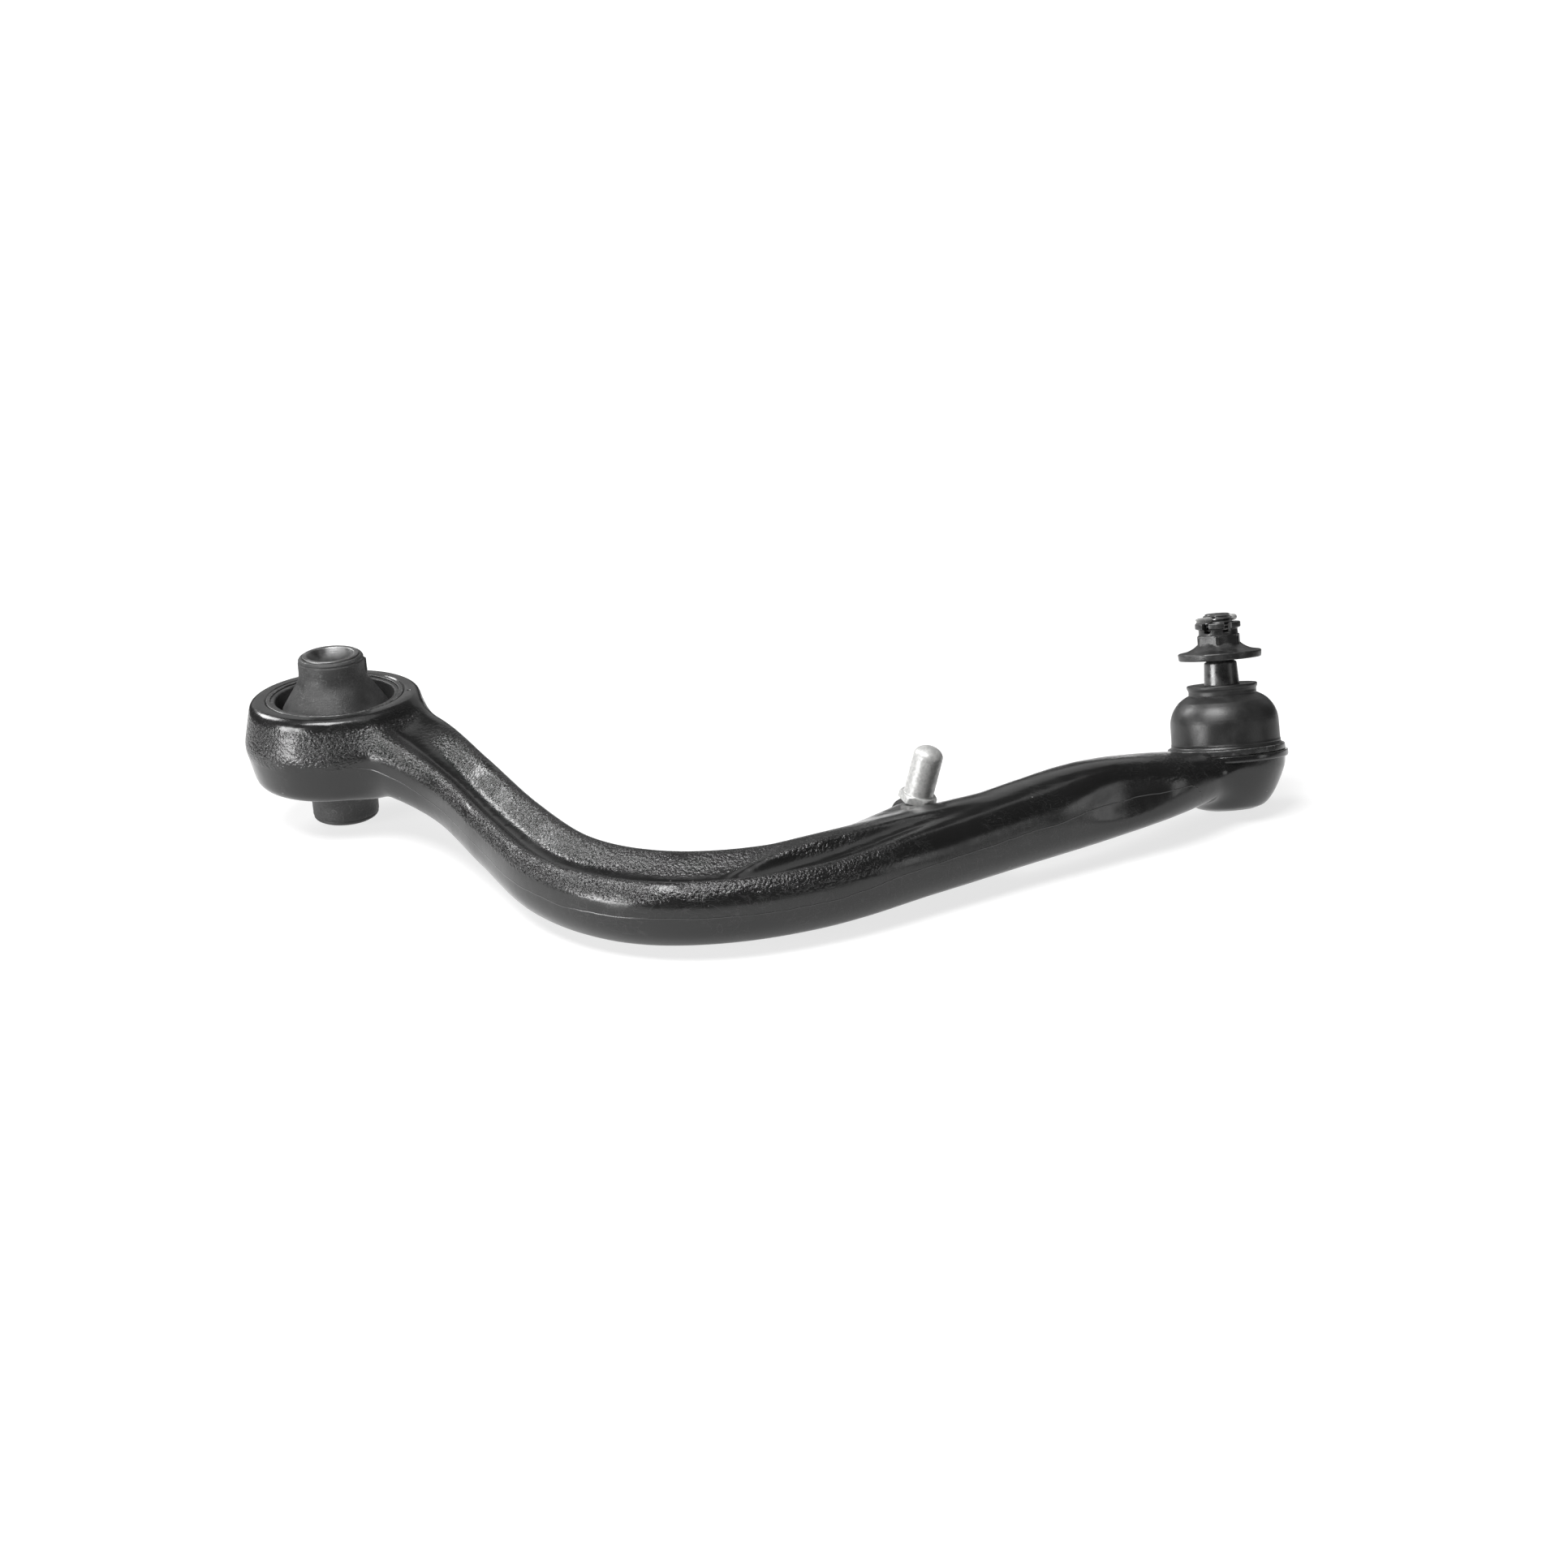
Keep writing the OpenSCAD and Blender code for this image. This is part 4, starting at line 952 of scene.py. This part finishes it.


# black coating: patchy grain, peaks painted light as glints, a wandering parting line, scratches, worn edges, dust
# the parting line is a slight ridge drawn lighter than the coating as a painted highlight
def forgingDetail(tree, place, look):
    grain = useGroup(tree, "grain", place, Scale=look["grainScale"])
    patches = ramp(tree, noise(tree, place, *look["patches"]), 0.32, 0.55, look["leastPatch"], 1.0)
    patchy = times(tree, attributeOf(tree, "grain"), patches)
    wander = times(tree, minus(tree, noise(tree, place, *look["lineWander"]), 0.5), look["wanderReach"])
    away = calc(tree, "ABSOLUTE", plus(tree, attributeOf(tree, "parting"), wander))
    line = ramp(tree, away, 0.0, look["lineWidth"], 1.0, 0.0)
    dust = dustMask(tree, place, look)
    colour = blendColour(tree, noise(tree, place, *look["cloud"]), *look["colour"])
    # painted glints: the grain's peaks drawn lighter in the colour, standing in for sparkling highlights
    colour = blendColour(tree, times(tree, grain["Peaks"], patchy), colour, look["grainShade"])
    # painted highlight: the parting line drawn lighter than the coating, over its slight real ridge
    colour = marked(tree, colour, line, *look["line"])
    colour = marked(tree, colour, scuffMask(tree, place, look), *look["scuffs"][2:])
    colour = marked(tree, colour, wearMask(tree, place, look), *look["wear"][1:])
    colour = marked(tree, colour, dust, *look["dust"][2:])
    roughness = ramp(tree, noise(tree, place, *look["roughCloud"]), 0.3, 0.7, *look["roughness"])
    roughness = plus(tree, roughness, times(tree, dust, look["dustRoughness"]))
    skin = times(tree, noise(tree, place, *look["skin"]), look["skinHeight"])
    swell = times(tree, noise(tree, place, *look["swell"]), look["swellHeight"])
    height = plus(tree, times(tree, grain["Height"], patchy), plus(tree, skin, swell))
    return colour, roughness, plus(tree, height, times(tree, line, look["lineHeight"]))


shellSteel = {"bump": 0.6, "relief": 0.0001, "colour": 0.018, "roughness": (0.24, 0.4),
              "cloud": (300.0, 3.0), "fine": (1500.0, 3.0), "wear": (0.56, 0.8, 0.16),
              "scuffs": (70.0, 0.8, 0.2)}


# black steel, bare along its edges and in a few scratches
def shellDetail(tree, place, look):
    wear = times(tree, wearMask(tree, place, look), look["wear"][1])
    bare = calc(tree, "MAXIMUM", wear, times(tree, scuffMask(tree, place, look), look["scuffs"][2]))
    colour = blendColour(tree, bare, look["colour"], look["wear"][2])
    roughness = ramp(tree, noise(tree, place, *look["cloud"]), 0.3, 0.7, *look["roughness"])
    return colour, roughness, noise(tree, place, *look["fine"])


bushRubber = {"bump": 0.8, "relief": 0.00015, "specular": 0.4, "colour": (0.02, 0.034),
              "roughness": (0.46, 0.6), "cloud": (90.0, 4.0), "fine": (1800.0, 3.0), "swell": (260.0, 2.0),
              "swellHeight": 1.2, "scuffs": (75.0, 0.85), "dust": (420.0, 0.1, 0.35, 0.16),
              "wear": (0.60, 0.35, 0.1)}


# rubber: cloudy grey with scratches, dust and paler edges
def bushRubberDetail(tree, place, look):
    cloud = clouds(tree, place, *look["cloud"])
    marks = calc(tree, "MAXIMUM", scuffMask(tree, place, look), dustMask(tree, place, look))
    colour = marked(tree, blendColour(tree, cloud, *look["colour"]), marks, *look["dust"][2:])
    colour = marked(tree, colour, wearMask(tree, place, look), *look["wear"][1:])
    swell = times(tree, noise(tree, place, *look["swell"]), look["swellHeight"])
    fine = plus(tree, noise(tree, place, *look["fine"]), swell)
    return colour, ramp(tree, cloud, 0.0, 1.0, *look["roughness"]), fine


bootRubber = {"bump": 0.6, "relief": 0.00006, "colour": (0.011, 0.019), "roughness": (0.36, 0.46),
              "cloud": (110.0, 4.0), "fine": (2200.0, 2.0), "swell": (200.0, 2.0), "swellHeight": 1.5,
              "dust": (380.0, 0.05, 0.2, 0.12)}


# smoother rubber with a little dust
def bootRubberDetail(tree, place, look):
    cloud = clouds(tree, place, *look["cloud"])
    colour = blendColour(tree, cloud, *look["colour"])
    colour = marked(tree, colour, dustMask(tree, place, look), *look["dust"][2:])
    swell = times(tree, noise(tree, place, *look["swell"]), look["swellHeight"])
    fine = plus(tree, noise(tree, place, *look["fine"]), swell)
    return colour, ramp(tree, cloud, 0.0, 1.0, *look["roughness"]), fine


sleeveSteel = {"metallic": 1.0, "bump": 0.5, "relief": 0.00008, "colour": (0.17, 0.22),
               "roughness": (0.34, 0.5), "cloud": (260.0, 4.0), "rings": (2600.0, 2.0),
               "ringRoughness": 0.08, "dust": (500.0, 0.12, 0.6, 0.06)}


# turned steel: rings of noise that depends only on the distance to the axis
def sleeveSteelDetail(tree, place, look):
    flat = addNode(tree, "VectorMath", {0: stretched(tree, place, (1, 1, 0))}, operation="LENGTH")
    across = addNode(tree, "CombineXYZ", {"X": flat.outputs["Value"]}).outputs["Vector"]
    rings, cloud = noise(tree, across, *look["rings"]), noise(tree, place, *look["cloud"])
    colour = blendColour(tree, ramp(tree, cloud, 0.3, 0.7), *look["colour"])
    colour = marked(tree, colour, dustMask(tree, place, look), *look["dust"][2:])
    roughness = ramp(tree, cloud, 0.3, 0.7, *look["roughness"])
    roughness = plus(tree, roughness, times(tree, rings, look["ringRoughness"]))
    return colour, roughness, plus(tree, rings, cloud)


studSteel = {"metallic": 0.75, "bump": 0.6, "relief": 0.00005, "colour": (0.09, 0.15),
             "roughness": (0.26, 0.38), "cloud": (240.0, 4.0), "fine": (1600.0, 3.0),
             "dust": (650.0, 0.14, 0.6, 0.4), "wear": (0.6, 0.4, 0.3)}


# dark bare steel with dust and bright edges
def studSteelDetail(tree, place, look):
    cloud = clouds(tree, place, *look["cloud"])
    colour = blendColour(tree, cloud, *look["colour"])
    colour = marked(tree, colour, dustMask(tree, place, look), *look["dust"][2:])
    colour = marked(tree, colour, wearMask(tree, place, look), *look["wear"][1:])
    return colour, ramp(tree, cloud, 0.0, 1.0, *look["roughness"]), noise(tree, place, *look["fine"])


nutSteel = {"metallic": 0.4, "bump": 0.8, "relief": 0.00006, "colour": (0.02, 0.042),
            "roughness": (0.3, 0.44), "cloud": (220.0, 4.0), "fine": (1400.0, 3.0),
            "wear": (0.585, 0.5, 0.26), "scuffs": (110.0, 0.8, 0.6), "dust": (520.0, 0.12, 0.4, 0.25)}


# blackened steel, rubbed along its edges and in scratches
def nutSteelDetail(tree, place, look):
    cloud = clouds(tree, place, *look["cloud"])
    scuffs = times(tree, scuffMask(tree, place, look), look["scuffs"][2])
    rubbed = calc(tree, "MAXIMUM", wearMask(tree, place, look), scuffs)
    colour = marked(tree, blendColour(tree, cloud, *look["colour"]), rubbed, *look["wear"][1:])
    colour = marked(tree, colour, dustMask(tree, place, look), *look["dust"][2:])
    return colour, ramp(tree, cloud, 0.0, 1.0, *look["roughness"]), noise(tree, place, *look["fine"])


zincPlate = {"metallic": 0.4, "bump": 0.7, "relief": 0.00009, "roughness": (0.48, 0.36),
             "colour": ((0.38, 0.38, 0.375), (0.52, 0.52, 0.51)), "cloud": (900.0, 3.0, 0.6),
             "spangleScale": 700.0, "cloudShare": 0.75, "dust": (600.0, 0.1, 0.6, 0.12)}


# zinc: cloud and spangle mixed, where a spangle is one grey for each Voronoi cell
def zincDetail(tree, place, look):
    spangle = addNode(tree, "TexVoronoi", {"Vector": place, "Scale": look["spangleScale"]}).outputs["Color"]
    shade = addNode(tree, "SeparateColor", {"Color": spangle}).outputs["Red"]
    share = look["cloudShare"]
    mixed = plus(tree, times(tree, noise(tree, place, *look["cloud"]), share), times(tree, shade, 1 - share))
    colour = blendColour(tree, ramp(tree, mixed, 0.3, 0.7), *look["colour"])
    colour = marked(tree, colour, dustMask(tree, place, look), *look["dust"][2:])
    return colour, ramp(tree, mixed, 0.3, 0.7, *look["roughness"]), mixed


seatPlastic = {"bump": 0.4, "relief": 0.00005, "colour": ((0.7, 0.69, 0.62), (0.8, 0.79, 0.73)),
               "roughness": (0.42, 0.56), "cloud": (300.0, 3.0), "fine": (1500.0, 3.0)}


# pale moulded plastic with faint clouds
def plasticDetail(tree, place, look):
    cloud = noise(tree, place, *look["cloud"])
    roughness = ramp(tree, cloud, 0.3, 0.7, *look["roughness"])
    return blendColour(tree, cloud, *look["colour"]), roughness, noise(tree, place, *look["fine"])


materials = {slot: newMaterial(name, look, detail) for slot, name, look, detail in (
    ("black_coated_forging", "coatedForging", forging, forgingDetail),
    ("black_steel", "blackShellSteel", shellSteel, shellDetail),
    ("bush_rubber", "bushRubber", bushRubber, bushRubberDetail),
    ("boot_rubber", "bootRubber", bootRubber, bootRubberDetail),
    ("sleeve_steel", "turnedSleeveSteel", sleeveSteel, sleeveSteelDetail),
    ("stud_steel", "darkStudSteel", studSteel, studSteelDetail),
    ("nut_steel", "blackNutSteel", nutSteel, nutSteelDetail),
    ("zinc_plate", "zincPlate", zincPlate, zincDetail),
    ("seat_plastic", "seatPlastic", seatPlastic, plasticDetail))}
print("materials made:", len(materials))


# gives a piece its finish and body, and hides the solid that it stands for
def finishPiece(piece, slot, node, body=None, edgeGain=1.0):
    paintEdges(piece, edgeGain)
    piece.data.materials.clear()
    piece.data.materials.append(materials[slot])
    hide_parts(node)
    if body:
        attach(piece, body)


armPiece = cutArm(buildArm())
paintArm(armPiece)
finishPiece(armPiece, "black_coated_forging", "arm_forging", "arm", edgeGain=1.5)
print("arm made:", len(armPiece.data.polygons), "faces")

finishPiece(bushShell(), "black_steel", "bush_shell", "arm")
finishPiece(bushLining(), "bush_rubber", "bush_lining", "arm")
finishPiece(bushCore(), "bush_rubber", "bush_rubber_core", "bush_core")
finishPiece(bushSleeve(), "sleeve_steel", "bush_inner_sleeve", "bush_sleeve")
print("bush made")

bootLow, bootHigh = bootHalf("dustBootLower", False), bootHalf("dustBootUpper", True)
finishPiece(bootLow, "boot_rubber", "dust_boot")
finishPiece(bootHigh, "boot_rubber", "dust_boot")
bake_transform(bootLow)
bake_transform(bootHigh)
finishPiece(bootFootRing(), "black_steel", "boot_foot_ring", "arm")
finishPiece(ballStud(), "stud_steel", "ball_stud", "stud")
finishPiece(castleNut(), "nut_steel", "castle_nut", "stud")
finishPiece(cotterPin(), "zinc_plate", "cotter_pin", "stud")
finishPiece(bracketPin(), "zinc_plate", "bracket_pin", "arm")
print("ball joint and pin made")

for node, slot in (("lower_ball_seat", "seat_plastic"), ("upper_ball_seat", "seat_plastic"),
                   ("closing_ring", "sleeve_steel"), ("boot_lip_ring", "sleeve_steel")):
    for holder in frame["nodes"][node].material_slots:
        holder.material = materials[slot]

# studio: a wide white floor, dark walls and soft lights, aimed at the middle of the object; each light is
# azimuth from the front towards +X, elevation, distance, width and height in metres, and radiance
middle = (np.array(cadBox[0]) + np.array(cadBox[1])) / 2
studio = {"floorRadius": 8.0, "floorCorners": 96, "floorColour": 0.3, "glow": (0.75, 1.1),
          "glowReach": (0.35, 1.3), "brightFloor": (0.36, 0.55), "darkFloor": 0.05, "walls": 0.05,
          "lights": {"overhead": (0, 88, 1.6, 1.6, 1.6, 0.9), "leftHigh": (-118, 33, 1.5, 0.5, 0.5, 15.0),
                     "leftLow": (-54, 4, 1.5, 0.8, 0.5, 18.0), "topFront": (-30, 65, 1.5, 0.9, 0.75, 16.0),
                     "right": (76, 0, 1.5, 0.35, 0.5, 2.0), "back": (180, 22, 3.0, 5.0, 1.6, 0.45)}}


# unit vector: (sin a cos e, -cos a cos e, sin e)
def directionTo(azimuth, elevation):
    a, e = math.radians(azimuth), math.radians(elevation)
    return np.array([math.sin(a) * math.cos(e), -math.cos(a) * math.cos(e), math.sin(e)])


# flat disc under the object; it glows more further out, and is dark in reflections past a table's reach
def makeFloor():
    radius, corners = studio["floorRadius"], studio["floorCorners"]
    angle = np.arange(corners) * 2 * np.pi / corners
    edge = np.stack([radius * np.cos(angle) + middle[0], radius * np.sin(angle) + middle[1],
                     np.full(corners, cadBox[0][2])], 1)
    floor = makeObject("studioFloor", edge, np.arange(corners)[None])
    material = bpy.data.materials.new("paleFloor")
    material.use_nodes = True
    tree = material.node_tree
    shader = tree.nodes["Principled BSDF"]
    shader.inputs["Roughness"].default_value = 0.9
    shader.inputs["Specular IOR Level"].default_value = 0
    shader.inputs["Emission Color"].default_value = (1, 1, 1, 1)
    place = tree.nodes.new("ShaderNodeTexCoord").outputs["Object"]
    reach = addNode(tree, "VectorMath", {0: place, 1: tuple(middle)}, operation="DISTANCE").outputs["Value"]
    seen = tree.nodes.new("ShaderNodeLightPath").outputs["Is Camera Ray"]
    lit = calc(tree, "MAXIMUM", seen, ramp(tree, reach, *studio["brightFloor"], 1.0, studio["darkFloor"]))
    glow = ramp(tree, reach, *studio["glowReach"], *studio["glow"])
    tree.links.new(times(tree, glow, lit), shader.inputs["Emission Strength"])
    tree.links.new(blendColour(tree, lit, 0.0, studio["floorColour"]), shader.inputs["Base Color"])
    floor.data.materials.append(material)


# area light of a given radiance, turned to face the middle: power = radiance * pi * area
def makeLight(name, azimuth, elevation, distance, width, height, radiance):
    light = bpy.data.lights.new(name, "AREA")
    light.shape, light.size, light.size_y = "RECTANGLE", width, height
    light.energy = radiance * math.pi * width * height
    lamp = bpy.data.objects.new(name, light)
    away = directionTo(azimuth, elevation)
    side = np.cross([0, 0, 1], away)
    side /= np.linalg.norm(side)
    turn = np.eye(4)
    turn[:3] = np.stack([side, np.cross(away, side), away, middle + away * distance], 1)
    lamp.matrix_world = Matrix(turn)
    bpy.context.scene.collection.objects.link(lamp)


makeFloor()
for name, numbers in studio["lights"].items():
    makeLight(name, *numbers)
world = bpy.data.worlds.new("studioWalls")
world.use_nodes = True
world.node_tree.nodes["Background"].inputs["Color"].default_value = (*[studio["walls"]] * 3, 1)
bpy.context.scene.world = world
bpy.context.scene.view_settings.view_transform = "Standard"

# camera: azimuth, elevation and roll in degrees, the point it looks at and its distance from it in metres
view = {"azimuth": 8.32, "elevation": 19.7, "roll": 3.38, "aim": (0.201, -0.0757, 0.0035), "distance": 1.4,
        "lens": 80.9, "sensor": 36, "clip": (0.05, 50)}
away = directionTo(view["azimuth"], view["elevation"])
right = np.array([math.cos(math.radians(view["azimuth"])), math.sin(math.radians(view["azimuth"])), 0])
up, roll = np.cross(away, right), math.radians(view["roll"])
turn = np.eye(4)
turn[:3, 0] = right * math.cos(roll) - up * math.sin(roll)
turn[:3, 1] = right * math.sin(roll) + up * math.cos(roll)
turn[:3, 2] = away
turn[:3, 3] = np.array(view["aim"]) + away * view["distance"]
cameraData = bpy.data.cameras.new("camera")
cameraData.lens, cameraData.sensor_width = view["lens"], view["sensor"]
cameraData.clip_start, cameraData.clip_end = view["clip"]
camera = bpy.data.objects.new("camera", cameraData)
camera.matrix_world = Matrix(turn)
bpy.context.scene.collection.objects.link(camera)
bpy.context.scene.camera = camera
print("studio and camera made")
